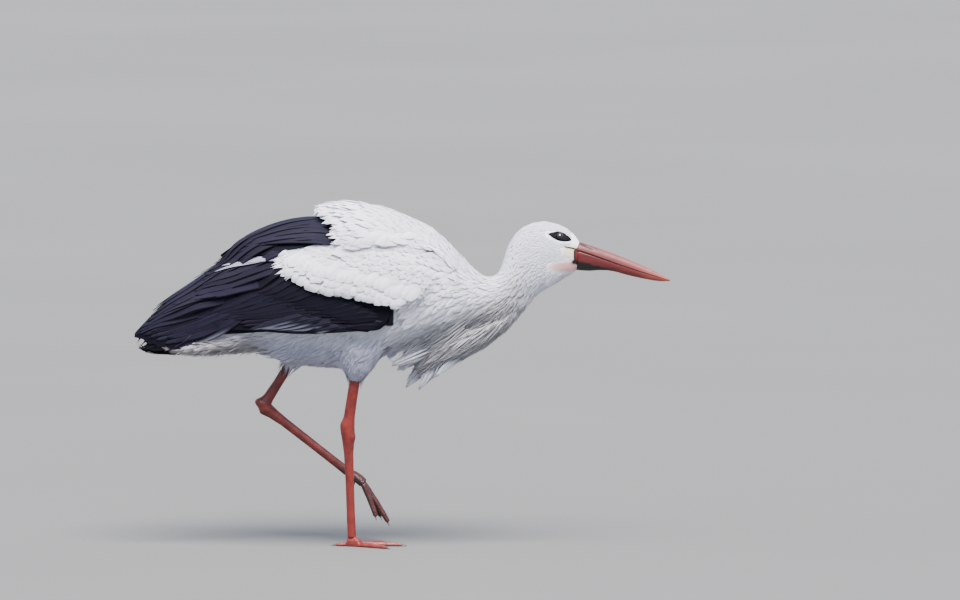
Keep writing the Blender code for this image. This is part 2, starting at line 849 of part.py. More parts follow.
def make_toe(name, root, ahead, up, length, half, droop=0.0):
    """A toe and its claw, along a path that starts at root and bends by droop radians."""
    out = ahead.cross(up).normalized()
    toe_length = length - CLAW
    rings = []
    place = root.copy()
    steps = 6
    for k in range(steps + 1):
        share = k / steps
        turn = droop * share
        here = ahead * math.cos(turn) + up * math.sin(turn)
        raised = out.cross(here).normalized()
        if raised.dot(up) < 0:
            raised = -raised
        knuckle = 1.0 + 0.07 * (k % 2)
        width = half * blend(1.0, 0.68, share) * knuckle
        height = half * blend(1.65, 1.10, share) * knuckle
        rings.append(sole_ring(place, here, raised, width, height))
        if k < steps:
            place = place + here * toe_length / steps
    add_object(name, stack_rings(rings), RED)
    start = place + here * GAP
    claw = []
    for share, keep in ((0.0, 0.82), (0.55, 0.62), (1.0, 0.16)):
        centre = start + here * (CLAW - GAP) * share
        claw.append(sole_ring(centre, here, raised, half * 0.62 * keep, half * 0.95 * keep))
    add_object(name.replace("toe", "claw"), stack_rings(claw), CLAW_DARK)


def palm_reach(direction):
    """How far the sole of the palm reaches in a direction, in radians from ahead."""
    front = ease(math.radians(100), math.radians(50), abs(direction))
    return blend(PALM_BACK, PALM_FRONT, front)


def make_standing_foot():
    """The palm, cut square to each toe, with four toes flat on the floor."""
    centre = Vector((*FOOT_AT, 0.0))
    up = Vector((0, 0, 1))
    corners = []
    for _, heading, _, half in sorted(TOES, key=lambda toe: toe[1]):
        turn = math.radians(heading)
        reach = palm_reach(math.remainder(turn, 2 * math.pi))
        ahead = Vector((math.cos(turn), math.sin(turn), 0))
        out = Vector((-math.sin(turn), math.cos(turn), 0))
        width = half * 1.02
        corners += [ahead * reach - out * width, ahead * reach + out * width]
    levels = ((0.0, 1.0), (0.0060, 1.0), (0.0110, 0.80), (PALM_HEIGHT, 0.0))
    rings = []
    for height, keep in levels:
        ring = []
        for corner in corners:
            spread = corner.normalized() * 0.0086
            flat = spread.lerp(corner, keep)
            ring.append(centre + flat + up * height)
        rings.append(ring)
    add_object("palm_right", stack_rings(rings), RED)
    for name, heading, length, half in TOES:
        turn = math.radians(heading)
        ahead = Vector((math.cos(turn), math.sin(turn), 0))
        start = palm_reach(math.remainder(turn, 2 * math.pi)) + GAP
        root = centre + ahead * start
        beyond = length - start / 2  # a toe is measured from half way out over the palm
        make_toe(f"toe_{name}_right", root, ahead, up, beyond, half * 0.98)


def make_raised_foot():
    """The palm at the end of the left leg, with its toes hanging closed."""
    end = LEFT_LEG[-1]
    palm = (end, *RAISED_PALM)
    rings = [np.array(ring) for ring in limb_rings(palm, 12)]
    rings[0] = np.array(limb_rings(LEFT_LEG, 12)[-1])
    rings[0] = trimmed(rings[0], rings[1])
    add_object("palm_left", stack_rings(rings), RED)
    last = Vector(palm[-1][:3])
    ahead_palm = (last - Vector(palm[-2][:3])).normalized()
    lengths = {name: (length, half) for name, _, length, half in TOES}
    for name, across, slope, droop, splay in HANGING_TOES:
        length, half = lengths[name]
        tilt = math.radians(slope)
        turn = math.radians(splay)
        level = math.cos(turn)
        ahead = Vector((math.cos(tilt) * level, math.sin(turn), math.sin(tilt) * level))
        up = Vector((-math.sin(tilt), 0, math.cos(tilt)))
        root = last + ahead_palm * 0.0022 + Vector((0, across, 0)) - up * 0.0042
        make_toe(f"toe_{name}_left", root, ahead, up, length, half * 0.86, math.radians(droop))
    length, half = lengths["hind"]
    ahead = Vector((-0.30, 0.0, -0.954)).normalized()
    up = Vector((-0.954, 0.0, 0.30)).normalized()
    root = Vector((-0.0855, 0.0430, 0.1100))
    make_toe("toe_hind_left", root, ahead, up, length, half * 0.9)


# ---------------------------------------------------------------- the whole bird


def centre_on_floor():
    """Move everything so that the origin is under the middle of the box, on the floor."""
    everything = [thing for thing in bpy.data.objects if thing.type == "MESH"]
    points = [thing.matrix_world @ vert.co for thing in everything for vert in thing.data.vertices]
    low = [min(point[axis] for point in points) for axis in range(3)]
    high = [max(point[axis] for point in points) for axis in range(3)]
    shift = Vector((-(low[0] + high[0]) / 2, -(low[1] + high[1]) / 2, -low[2]))
    for thing in everything:
        for vert in thing.data.vertices:
            vert.co += shift


def main():
    for thing in list(bpy.data.objects):
        bpy.data.objects.remove(thing)
    trunk = make_trunk()
    make_tail()
    head, neck_upper, neck_lower = make_head_and_neck()
    make_bill()
    make_eyes(head)
    breast = make_breast()
    for carrier in (neck_upper, neck_lower, trunk):
        make_room(carrier, breast)
    for label, leg, thigh in (("right", RIGHT_LEG, RIGHT_THIGH), ("left", LEFT_LEG, LEFT_THIGH)):
        make_room(trunk, make_leg(label, leg, thigh))
    mantle = make_mantle()
    for label, side in (("right", -1), ("left", 1)):
        make_coverts(label, side)
        make_secondaries(label, side)
        make_tertials(label, side)
        make_primaries(label, side)
        make_room(mantle, make_scapulars(label, side))
    make_standing_foot()
    make_raised_foot()
    centre_on_floor()


main()
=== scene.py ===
"""Looks of the white stork: skin, plumage, bill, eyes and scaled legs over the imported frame.

The bird faces +X.  Small feathers are vanes laid along one smooth outer surface, which is
remeshed from the frame's own nodes; the flight feathers lie on their own wing nodes.
"""

import itertools
import math

import bpy
import numpy as np
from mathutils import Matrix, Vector
from mathutils.bvhtree import BVHTree
from mathutils.kdtree import KDTree


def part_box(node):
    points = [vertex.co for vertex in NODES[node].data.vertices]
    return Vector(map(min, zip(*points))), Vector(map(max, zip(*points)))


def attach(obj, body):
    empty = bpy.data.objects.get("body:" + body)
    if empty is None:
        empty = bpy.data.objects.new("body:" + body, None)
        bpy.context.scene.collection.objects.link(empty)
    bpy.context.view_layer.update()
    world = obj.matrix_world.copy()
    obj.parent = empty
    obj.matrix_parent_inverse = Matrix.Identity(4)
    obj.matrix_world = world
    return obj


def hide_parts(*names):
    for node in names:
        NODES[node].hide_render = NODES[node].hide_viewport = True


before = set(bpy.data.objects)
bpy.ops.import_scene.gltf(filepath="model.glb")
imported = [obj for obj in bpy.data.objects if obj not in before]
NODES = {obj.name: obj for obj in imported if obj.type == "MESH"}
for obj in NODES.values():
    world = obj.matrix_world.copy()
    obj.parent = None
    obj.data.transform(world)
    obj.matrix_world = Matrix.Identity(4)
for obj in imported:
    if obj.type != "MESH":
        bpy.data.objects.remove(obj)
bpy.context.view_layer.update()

# ---------------------------------------------------------------- driving values

SIDES = (("right", -1), ("left", 1))
FLESH = ["trunk", "tail", "head", "neck_upper", "neck_lower", "breast_plumes", "mantle"]
FLESH += [f"{part}_{side}" for side, _ in SIDES for part in ("thigh", "wing_coverts")]
WING_PARTS = ("wing_primaries", "wing_secondaries", "wing_tertials", "scapulars")
BLACK_NODES = [f"{part}_{side}" for side, _ in SIDES for part in WING_PARTS]
TOES = ("inner", "middle", "outer", "hind")

SKIN_VOXEL = 0.0028
LEG_VOXEL = 0.0008
CREASE = 0.012  # feathers bridge creases up to twice this wide
BREAST_GAP = 0.024  # half the width of the crease that the shoulder plumes bridge
BAKE_PATCH = 0.003  # size of one feather's patch on the OFBake map
FREE_EDGE = 0.40  # how steeply a surface falls away where feathers stop following it
SHORTENED = (1.0, 0.7, 0.45)  # shares of its length that a feather near the black may keep

# How the small feathers lie: x, z, heading in the XZ plane in degrees (180 is tailwards),
# length, half width as a share of the length, height of the tip over the surface.
LIE = np.array((
    (0.306, 0.560, 160, 0.0055, 0.26, 0.0002),
    (0.283, 0.584, 170, 0.0065, 0.24, 0.0002),
    (0.248, 0.588, 186, 0.0085, 0.22, 0.0003),
    (0.203, 0.565, 236, 0.0110, 0.20, 0.0004),
    (0.270, 0.535, 190, 0.0070, 0.22, 0.0002),
    (0.235, 0.530, 208, 0.0100, 0.20, 0.0003),
    (0.288, 0.492, 205, 0.0085, 0.20, 0.0008),
    (0.255, 0.468, 222, 0.0170, 0.14, 0.0012),
    (0.186, 0.530, 262, 0.0140, 0.18, 0.0004),
    (0.215, 0.490, 232, 0.0160, 0.16, 0.0005),
    (0.225, 0.438, 222, 0.0320, 0.11, 0.0016),
    (0.170, 0.495, 215, 0.0200, 0.16, 0.0006),
    (0.160, 0.455, 212, 0.0300, 0.13, 0.0008),
    (0.110, 0.525, 165, 0.0300, 0.22, 0.0010),
    (0.050, 0.570, 170, 0.0420, 0.20, 0.0014),
    (-0.050, 0.600, 178, 0.0500, 0.20, 0.0018),
    (-0.130, 0.600, 182, 0.0520, 0.20, 0.0022),
    (0.090, 0.480, 200, 0.0300, 0.20, 0.0010),
    (0.170, 0.415, 216, 0.0480, 0.10, 0.0020),
    (0.120, 0.375, 217, 0.0680, 0.08, 0.0024),
    (0.070, 0.340, 221, 0.0780, 0.07, 0.0030),
    (0.020, 0.315, 230, 0.0700, 0.07, 0.0030),
    (0.050, 0.420, 220, 0.0360, 0.15, 0.0010),
    (-0.030, 0.375, 214, 0.0360, 0.15, 0.0014),
    (-0.076, 0.345, 248, 0.0280, 0.15, 0.0016),
    (-0.084, 0.310, 262, 0.0150, 0.16, 0.0012),
    (-0.170, 0.350, 222, 0.0280, 0.15, 0.0016),
    (-0.200, 0.325, 235, 0.0150, 0.16, 0.0012),
    (-0.130, 0.350, 205, 0.0340, 0.14, 0.0020),
    (-0.230, 0.365, 192, 0.0380, 0.13, 0.0024),
    (-0.330, 0.360, 188, 0.0400, 0.13, 0.0028),
    (-0.440, 0.358, 183, 0.0300, 0.16, 0.0008),
    (0.040, 0.480, 202, 0.0220, 0.28, 0.0008),
    (-0.050, 0.510, 192, 0.0270, 0.30, 0.0010),
    (-0.050, 0.460, 206, 0.0320, 0.32, 0.0014),
    (-0.170, 0.500, 192, 0.0330, 0.32, 0.0014),
))

# Loose locks at the ends of the breast plumes: root, tip, half width.
LOCKS = (
    ((0.060, -0.010, 0.330), (0.0295, -0.012, 0.2840), 0.012),
    ((0.043, 0.008, 0.332), (0.0060, 0.008, 0.2860), 0.012),
    ((0.043, -0.024, 0.356), (-0.0190, -0.030, 0.3290), 0.012),
    ((0.038, 0.026, 0.350), (-0.0100, 0.030, 0.3150), 0.012),
    ((0.096, -0.020, 0.352), (0.0580, -0.026, 0.3080), 0.012),
    ((0.096, 0.020, 0.352), (0.0620, 0.026, 0.3110), 0.012),
    ((0.030, -0.012, 0.360), (0.0000, -0.016, 0.3180), 0.010),
)
LOCK_SKIN = 0.35  # share of a lock's length that the skin follows
LOCK_COAT = 0.1  # share of its length that the breast's own feathers cover
LOCK_STRAY = 0.012  # a plume that would start further outside the body is left out
LOCK_ROOT = 0.002  # how deep in the skin the plumes start
LOCK_PLUMES = 130
THIGH_PLUMES = 80
LEG_RADIUS = 0.009  # about half the width of the tibia, seen from the side

# Lower border of the white coverts on the black wing: x, z.
COVERT_BORDER = (
    (-0.010, 0.4430), (-0.034, 0.4460), (-0.063, 0.4520), (-0.098, 0.4600),
    (-0.147, 0.4670), (-0.177, 0.4780), (-0.207, 0.4920),
)
BLACK_FRONT = -0.0145  # where the black of the closed wing ends, blunt
BLACK_REAR = -0.21  # behind this, or below the next, only the wing's nodes decide
BLACK_LOW = 0.404
WING_REACH = 0.045  # how far outside the body a wing node still covers it
CREASE_LINE = ((0.120, 0.415), (0.058, 0.392), (0.010, 0.364))  # over the breast plumes: x, z
COAT_REAR = -0.436  # behind this the tail is covered by its own row of feathers
NECK_BASE = 0.105  # where the neck's feathers give way to the body's
WING_HEM = 0.405  # height between the coverts' coat and the belly's

# ---------------------------------------------------------------- small helpers


def blend(a, b, t):
    return a + (b - a) * t


def ease(low, high, x):
    """Go smoothly from 0 at low to 1 at high, for a number or an array."""
    t = np.clip((x - low) / (high - low), 0.0, 1.0)
    return t * t * (3 - 2 * t)


def tint(colours, target, share):
    """Blend each row of colours towards a target by its own share."""
    return blend(colours, target, share[:, None])


def unit(vectors):
    return vectors / np.maximum(np.linalg.norm(vectors, axis=-1, keepdims=True), 1e-12)


def smooth_rows(values, rounds):
    for _ in range(rounds):
        inner = (values[:-2] + values[1:-1] * 2 + values[2:]) / 4
        values = np.concatenate((values[:1], inner, values[-1:]))
    return values


def along(line, count):
    """Evenly spaced places along a line of points."""
    line = np.array(line, dtype=float)
    run = np.concatenate(((0,), np.cumsum(np.linalg.norm(np.diff(line, axis=0), axis=1))))
    at = np.linspace(0, run[-1], count)
    return np.stack([np.interp(at, run, column) for column in line.T], axis=1)


def height_on(line, x):
    """Height at x of a line of (x, z) points that runs tailwards."""
    xs, zs = np.array(line[::-1]).T
    return np.interp(x, xs, zs)


def read(items, attribute, width=3, dtype=float):
    """One attribute of a mesh's elements, as an array with a row for each element."""
    flat = np.empty(len(items) * width, dtype=dtype)
    items.foreach_get(attribute, flat)
    return flat.reshape(-1, width)


def gather(names):
    """Points and triangles of several nodes, as one pair of arrays."""
    points, faces, base = [], [], 0
    for name in names:
        mesh = NODES[name].data
        mesh.calc_loop_triangles()
        points.append(read(mesh.vertices, "co"))
        faces.append(read(mesh.loop_triangles, "vertices", dtype=np.int32) + base)
        base += len(points[-1])
    return np.concatenate(points), np.concatenate(faces)


def tree_of(names):
    points, faces = gather(names)
    return BVHTree.FromPolygons(points.tolist(), faces.tolist())


def hit_from(tree, start, direction, reach):
    """Where a ray first meets a tree, or None."""
    return tree.ray_cast(Vector(start), Vector(direction), reach)[0]


def finder_of(places):
    finder = KDTree(len(places))
    for i, place in enumerate(places):
        finder.insert(place, i)
    finder.balance()
    return finder


NEIGHBOURS = tuple(itertools.product((-1, 0, 1), repeat=3))


def claim(grid, cell, place, radius):
    """Take a place in a grid of cells, unless one already taken is within the radius."""
    x, y, z = (int(math.floor(c / cell)) for c in place)
    for a, b, c in NEIGHBOURS:
        for other in grid.get((x + a, y + b, z + c), ()):
            if ((other - place) ** 2).sum() < radius * radius:
                return False
    grid.setdefault((x, y, z), []).append(place)
    return True


# ---------------------------------------------------------------- meshes and pieces


def add_object(name, data):
    made = bpy.data.objects.new(name, data)
    bpy.context.scene.collection.objects.link(made)
    return made


def make_mesh(name, points, quads, normals=None):
    """A mesh datablock from arrays of points and four-sided faces."""
    mesh = bpy.data.meshes.new(name)
    mesh.vertices.add(len(points))
    mesh.vertices.foreach_set("co", np.asarray(points, dtype=np.float32).ravel())
    mesh.loops.add(quads.size)
    mesh.loops.foreach_set("vertex_index", quads.astype(np.int32).ravel())
    mesh.polygons.add(len(quads))
    mesh.polygons.foreach_set("loop_start", np.arange(0, quads.size, 4, dtype=np.int32))
    mesh.update(calc_edges=True)
    mesh.validate()
    mesh.shade_smooth()
    if normals is not None:
        mesh.normals_split_custom_set(normals.tolist())
    return mesh


def move_points(mesh, points):
    mesh.vertices.foreach_set("co", points.astype(np.float32).ravel())
    mesh.update()


def set_colours(mesh, colours):
    """Store one colour for each point, which the materials read as Paint."""
    layer = mesh.color_attributes.new("Paint", "FLOAT_COLOR", "POINT")
    rgba = np.ones((len(colours), 4), dtype=np.float32)
    rgba[:, :3] = np.clip(colours, 0, 1)
    layer.data.foreach_set("color", rgba.ravel())


def set_uv(mesh, name, coordinates):
    layer = mesh.uv_layers.new(name=name)
    layer.uv.foreach_set("vector", np.asarray(coordinates, dtype=np.float32).ravel())


def add_piece(name, mesh, look, slot, nodes=()):
    """Put a mesh into the scene as a piece that rides with the bird."""
    piece = add_object(name, mesh)
    mesh.materials.clear()
    mesh.materials.append(look)
    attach(piece, "root")
    if nodes:
        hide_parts(*nodes)
    return piece


def unwrap(piece):
    """Give a piece an unwrap of its own shape, named OFBake."""
    piece.data.uv_layers.new(name="OFBake")
    bpy.context.view_layer.objects.active = piece
    piece.select_set(True)
    bpy.ops.object.mode_set(mode="EDIT")
    bpy.ops.mesh.select_all(action="SELECT")
    bpy.ops.uv.smart_project(angle_limit=math.radians(66), island_margin=0.002)
    bpy.ops.object.mode_set(mode="OBJECT")
    piece.select_set(False)


def remeshed(name, nodes, voxel, rounds, reach=0.0):
    """One smooth closed mesh round several nodes; creases under twice the reach are filled."""
    points, faces = gather(nodes)
    rough = bpy.data.meshes.new(name + "_rough")
    rough.from_pydata(points.tolist(), [], faces.tolist())
    holder = add_object(name + "_rough", rough)
    for swell in (reach, -reach):
        join = holder.modifiers.new("join", "REMESH")
        join.mode = "VOXEL"
        join.voxel_size = voxel
        if not reach:
            break
        move = holder.modifiers.new("move", "DISPLACE")
        move.mid_level = 0.0
        move.strength = swell
    soften = holder.modifiers.new("soften", "SMOOTH")
    soften.factor = 0.5
    soften.iterations = rounds
    graph = bpy.context.evaluated_depsgraph_get()
    mesh = bpy.data.meshes.new_from_object(holder.evaluated_get(graph))
    mesh.name = name
    bpy.data.objects.remove(holder)
    bpy.data.meshes.remove(rough)
    mesh.shade_smooth()
    return mesh


class Surface:
    """A closed mesh that can be asked for its nearest point and smooth normal."""

    def __init__(self, mesh):
        self.points = read(mesh.vertices, "co")
        self.normals = read(mesh.vertices, "normal")
        self.faces = [tuple(face.vertices) for face in mesh.polygons]
        self.tree = BVHTree.FromPolygons(self.points.tolist(), self.faces)

    def nearest(self, point):
        place, _, face, _ = self.tree.find_nearest(point)
        normal = self.normals[list(self.faces[face])].mean(axis=0)
        return place, Vector(normal).normalized()


# ---------------------------------------------------------------- materials


class Look:
    """A node material, built up with short calls that return the sockets they made."""

    def __init__(self, name, settings):
        self.material = bpy.data.materials.new(name)
        self.material.use_nodes = True
        self.nodes = self.material.node_tree.nodes
        self.links = self.material.node_tree.links
        self.inputs = self.nodes["Principled BSDF"].inputs
        for label, value in settings.items():
            self.inputs[label].default_value = value

    def feed(self, socket, value):
        """Feed a socket with a number, a colour or another socket."""
        if isinstance(value, bpy.types.NodeSocket):
            self.links.new(value, socket)
        elif isinstance(value, tuple):
            socket.default_value = (*value, 1.0)
        else:
            socket.default_value = value

    def made(self, kind, **inputs):
        """A new node, with some of its inputs fed."""
        node = self.nodes.new(kind)
        for label, value in inputs.items():
            self.feed(node.inputs[label.replace("_", " ")], value)
        return node

    def math(self, operation, *values):
        node = self.made("ShaderNodeMath")
        node.operation = operation
        for socket, value in zip(node.inputs, values):
            self.feed(socket, value)
        return node.outputs[0]

    def place(self):
        return self.made("ShaderNodeTexCoord").outputs["Object"]

    def noise(self, scale, detail=3.0, place=None):
        place = self.place() if place is None else place
        return self.made("ShaderNodeTexNoise", Scale=scale, Detail=detail, Vector=place).outputs["Fac"]

    def span(self, value, low, high, to_low=0.0, to_high=1.0):
        """Map a value from one range to another."""
        node = self.made("ShaderNodeMapRange", Value=value, From_Min=low, From_Max=high,
                         To_Min=to_low, To_Max=to_high)
        return node.outputs["Result"]

    def mix(self, kind, share, a, b):
        """Mix two colours; each may be a socket or a triple."""
        node = self.made("ShaderNodeMix")
        node.data_type = "RGBA"
        node.blend_type = kind
        for index, value in ((0, share), (6, a), (7, b)):
            self.feed(node.inputs[index], value)
        return node.outputs[2]

    def darken(self, colour, pattern, low, high, most, tone):
        """Multiply a colour by a tone, the more the higher a pattern is."""
        return self.mix("MULTIPLY", self.span(pattern, low, high, 0.0, most), colour, tone)

    def paint(self):
        node = self.made("ShaderNodeAttribute")
        node.attribute_name = "Paint"
        return node.outputs["Color"]

    def finish(self, colour, height=None, distance=0.0, strength=0.0):
        """Colour and bump the material and return it."""
        self.feed(self.inputs["Base Color"], colour)
        if height is not None:
            bump = self.made("ShaderNodeBump", Distance=distance, Strength=strength, Height=height)
            self.feed(self.inputs["Normal"], bump.outputs["Normal"])
        return self.material


def plumage(name, roughness, barb_contrast, sheen, barb_pitch=0.0011, shine=0.3, glow=0.0):
    """Feather vane: barbs slant from the shaft, over the colour painted on each feather."""
    look = Look(name, {
        "Roughness": roughness,
        "Sheen Weight": sheen,
        "Sheen Roughness": 0.5,
        "Specular IOR Level": shine,
        "Subsurface Weight": glow,
        "Subsurface Radius": (1.0, 1.0, 1.0),
        "Subsurface Scale": 0.005,
    })
    vane = look.made("ShaderNodeUVMap")
    vane.uv_map = "Vane"
    across, up, _ = look.made("ShaderNodeSeparateXYZ", Vector=vane.outputs["UV"]).outputs
    wobble = look.span(look.noise(220.0, 2.0), 0.0, 1.0, -0.0007, 0.0007)
    phase = look.math("ADD", look.math("SUBTRACT", up, look.math("ABSOLUTE", across)), wobble)
    wave = look.math("SINE", look.math("MULTIPLY", phase, 2 * math.pi / barb_pitch))
    clumps = look.noise(90.0)
    barbs = look.span(wave, -1, 1, 1 - barb_contrast, 1.0)
    shade = look.math("MULTIPLY", barbs, look.span(clumps, 0.3, 0.7, 0.93, 1.03))
    height = look.math("ADD", wave, look.math("MULTIPLY", clumps, 3.0))
    return look.finish(look.mix("MULTIPLY", 1.0, look.paint(), shade), height, 0.00012, 0.5)


def skin_material():
    """Downy skin under the coat, in the coat's colours and their painted shade."""
    look = Look("downy_skin", {"Roughness": 0.9, "Sheen Weight": 0.15})
    fine = look.noise(900.0, 4.0)
    colour = look.darken(look.paint(), fine, 0.3, 0.7, 0.25, (0.7, 0.7, 0.72))
    return look.finish(colour, fine, 0.0006, 0.6)


def bill_material():
    """Horn of the bill: painted colour, growth lines along X, fine grain."""
    look = Look("bill_horn_look", {"Coat Weight": 0.06, "Coat Roughness": 0.25})
    stretch = look.made("ShaderNodeMapping", Vector=look.place())
    stretch.inputs["Scale"].default_value = (0.12, 1.0, 1.0)
    streaks = look.noise(220.0, 4.0, stretch.outputs[0])
    mottle = look.noise(60.0, 4.0)
    colour = look.darken(look.paint(), streaks, 0.42, 0.62, 0.5, (0.62, 0.50, 0.50))
    colour = look.darken(colour, mottle, 0.45, 0.70, 0.6, (0.72, 0.66, 0.70))
    look.feed(look.inputs["Roughness"], look.span(mottle, 0.3, 0.7, 0.39, 0.57))
    return look.finish(colour, streaks, 0.0004, 0.5)


def leg_material():
    """Waxy scaled skin, red, paler on the scales' crowns."""
    look = Look("leg_scales", {"Subsurface Weight": 0.08, "Subsurface Radius": (0.004, 0.001, 0.0006)})
    mottle = look.noise(70.0, 5.0)
    fine = look.noise(900.0)
    colour = look.darken(look.paint(), mottle, 0.45, 0.60, 0.7, (0.50, 0.36, 0.38))
    colour = look.mix("MIX", look.span(fine, 0.52, 0.72, 0.0, 0.12), colour, (0.50, 0.20, 0.14))
    look.feed(look.inputs["Roughness"], look.span(mottle, 0.3, 0.7, 0.36, 0.55))
    return look.finish(colour, fine, 0.0002, 0.5)


def claw_material():
    look = Look("claw_look", {"Roughness": 0.35})
    grain = look.noise(400.0)
    colour = look.mix("MIX", look.span(grain, 0.35, 0.65), (0.022, 0.014, 0.012), (0.075, 0.045, 0.035))
    return look.finish(colour, grain, 0.0002, 0.4)


def face_material():
    """Matt bare skin with fine wrinkles."""
    look = Look("face_skin_look", {"Roughness": 0.7, "Specular IOR Level": 0.25})
    fine = look.noise(700.0, 4.0)
    colour = look.darken(look.paint(), fine, 0.35, 0.7, 0.3, (0.75, 0.70, 0.68))
    return look.finish(colour, fine, 0.0004, 0.6)


def wet_material(name, roughness, coat, shine):
    """Eye or moist skin: the painted colour under a clear film."""
    look = Look(name, {
        "Roughness": roughness, "Coat Weight": coat, "Coat Roughness": 0.03, "Specular IOR Level": shine,
    })
    return look.finish(look.paint())


def floor_material():
    look = Look("studio_floor", {"Roughness": 0.9})
    cloud = look.span(look.noise(0.6, 2.0), 0.3, 0.7)
    return look.finish(look.mix("MIX", cloud, (0.115, 0.115, 0.110), (0.125, 0.125, 0.120)))


# ---------------------------------------------------------------- colours

# the plumage's white, with a painted bluish cast of sky light
WHITE = np.array((0.825, 0.83, 0.92))
# painted shade, bluish, on the underside:
SHADE = np.array((0.45, 0.455, 0.59))  # belly, thighs and under the tail
# painted shade on the breast
BREAST_SHADE = np.array((0.37, 0.355, 0.38))
# painted shade under the rear of the folded wing
UNDERTAIL_SHADE = np.array((0.32, 0.298, 0.315))
CHEEK = np.array((0.70, 0.62, 0.44))  # bare cheek behind the bill
CHIN = np.array((0.62, 0.30, 0.24))
NEAR_BLACK = np.array((0.0050, 0.0045, 0.0090))
BROWN_EDGE = np.array((0.030, 0.024, 0.030))
SILVER = np.array((0.17, 0.18, 0.225))
STREAK = np.array((0.27, 0.26, 0.34))  # the white lines between scapulars and tertials
BILL_ROOT = np.array((0.112, 0.010, 0.011))
BILL_MIDDLE = np.array((0.142, 0.017, 0.015))
BILL_TIP = np.array((0.30, 0.060, 0.040))
# painted highlight along the top of the upper bill
CULMEN_HIGHLIGHT = np.array((0.215, 0.055, 0.048))
# painted shade in the nostril slits
NOSTRIL_SHADE = np.array((0.012, 0.003, 0.003))
MOUTH_DARK = np.array((0.10, 0.02, 0.015))
GULAR = np.array((0.002, 0.002, 0.002))
EYE_SKIN = np.array((0.004, 0.004, 0.005))
GAPE_SKIN = np.array((0.016, 0.007, 0.007))
LEG_RED = np.array((0.200, 0.014, 0.009))
LEG_DEEP = np.array((0.085, 0.005, 0.005))
# near black: the standing foot's soles, and painted shadow under the raised foot
SOLE = np.array((0.020, 0.009, 0.008))


def bill_border(z):
    """How far forward the feathers grow at each height, where the bill begins."""
    return 0.3100 + 0.0095 * ease(0.534, 0.549, z) + 0.0075 * ease(0.519, 0.502, z)


def coat_colours(points):
    """The white plumage's colour at each point, painted shade included, for the skin and the coat alike.
    """
    x, z = points[:, 0], points[:, 2]
    colours = np.tile(WHITE, (len(points), 1))
    # Painted shade: darker and bluer towards the belly, the thighs and under the tail.
    colours = tint(colours, SHADE, ease(0.42, 0.36, z) * ease(0.06, 0.00, x))
    # Painted shade, deeper, low under the rear of the wing.
    colours = tint(colours, UNDERTAIL_SHADE, ease(0.400, 0.375, z) * ease(-0.20, -0.27, x))
    colours = tint(colours, NEAR_BLACK, ease(-0.398, -0.404, x))
    # Painted shade: the breast below a line that rises towards the neck is greyer.
    line = 0.330 + 0.62 * np.maximum(x - 0.02, 0.0)
    breast = ease(line + 0.075, line + 0.01, z) * ease(-0.02, 0.03, x) * ease(0.25, 0.20, x)
    colours = tint(colours, BREAST_SHADE, 0.9 * breast)
    return tint(colours, BILL_ROOT, ease(-0.0005, 0.0010, x - bill_border(z)))


# ---------------------------------------------------------------- skin

BLACK = tree_of(BLACK_NODES)


def over_black(place, outward):
    """Whether a place on the body belongs to the black wing or lies under it."""
    if BLACK_REAR < place.x < BLACK_FRONT and abs(place.y) > 0.04:
        if BLACK_LOW < place.z < height_on(COVERT_BORDER, place.x):
            return True
    return hit_from(BLACK, place - outward * 0.004, outward, WING_REACH) is not None


def coat_depth(points):
    """How deep the coat is: thin on the face, deep on the body."""
    x, z = points[:, 0], points[:, 2]
    on_head = ease(0.19, 0.26, x) * ease(0.44, 0.50, z)
    depth = blend(0.0040, 0.0012, on_head)
    return blend(depth, 0.0008, ease(0.292, 0.308, x))


def lock_share(point):
    """How far along a loose lock a place is, with that lock's run; zero if it is on none."""
    for root, tip, half in LOCKS:
        root, drop = np.array(root), np.array(tip) - np.array(root)
        share = (point - root) @ drop / (drop @ drop)
        reach = 0.004 + half * (1.05 - share)
        if 0.0 < share < 1.05 and np.linalg.norm(point - root - drop * share) < reach:
            return share, drop
    return 0.0, None


def lock_draw(point):
    """How far the skin is drawn up at a place, so that a lock's tip is all plumes."""
    share, drop = lock_share(point)
    return drop * 0.85 * (share - LOCK_SKIN) if share > LOCK_SKIN else 0.0


def make_skin():
    """The skin of the white parts, in one piece, drawn inside them by the coat's depth."""
    mesh = remeshed("skin", FLESH, SKIN_VOXEL, 4)
    outside = Surface(mesh)
    depth = coat_depth(outside.points)
    inner = outside.points.copy()
    black = []
    for i, (point, normal) in enumerate(zip(outside.points, outside.normals)):
        inward = Vector(-normal)
        hit = outside.tree.ray_cast(Vector(point) + inward * 0.0005, inward, 0.05)
        thickness = hit[3] if hit[0] is not None else 0.05
        inner[i] -= normal * min(depth[i], 0.3 * thickness)
        inner[i] -= lock_draw(point)
        black.append(over_black(Vector(point), Vector(normal)))
    move_points(mesh, inner)
    colours = coat_colours(inner)
    colours[black] = NEAR_BLACK
    set_colours(mesh, colours)
    skin = add_piece("skin", mesh, skin_material(), "plumage_white", FLESH)
    unwrap(skin)
    return skin


class BakeMap:
    """Looks up the skin's unwrap at the places where feathers grow."""

    def __init__(self, skin):
        corners = read(skin.data.uv_layers["OFBake"].uv, "vector", 2, np.float32)
        faces = skin.data.polygons
        self.places = np.array([corners[face.loop_indices].mean(axis=0) for face in faces])
        self.finder = finder_of([face.center for face in faces])

    def at(self, roots):
        return self.places[[self.finder.find(root)[1] for root in roots]]


BAKE = BakeMap(make_skin())
OUTER = Surface(remeshed("outer", FLESH, SKIN_VOXEL, 4, CREASE))  # white parts, creases filled
WHOLE = Surface(remeshed("whole", FLESH + BLACK_NODES, SKIN_VOXEL, 8, CREASE))  # with the wings
OPEN = Surface(remeshed("flesh", FLESH, SKIN_VOXEL, 6))  # white parts, creases left open
WHITE_COAT = (plumage("white_plumage", 0.8, 0.06, 0.15, glow=0.35), "plumage_white")
BLACK_COAT = (plumage("black_plumage", 0.6, 0.25, 0.0, 0.0014, 0.06), "plumage_black")

# ---------------------------------------------------------------- vanes

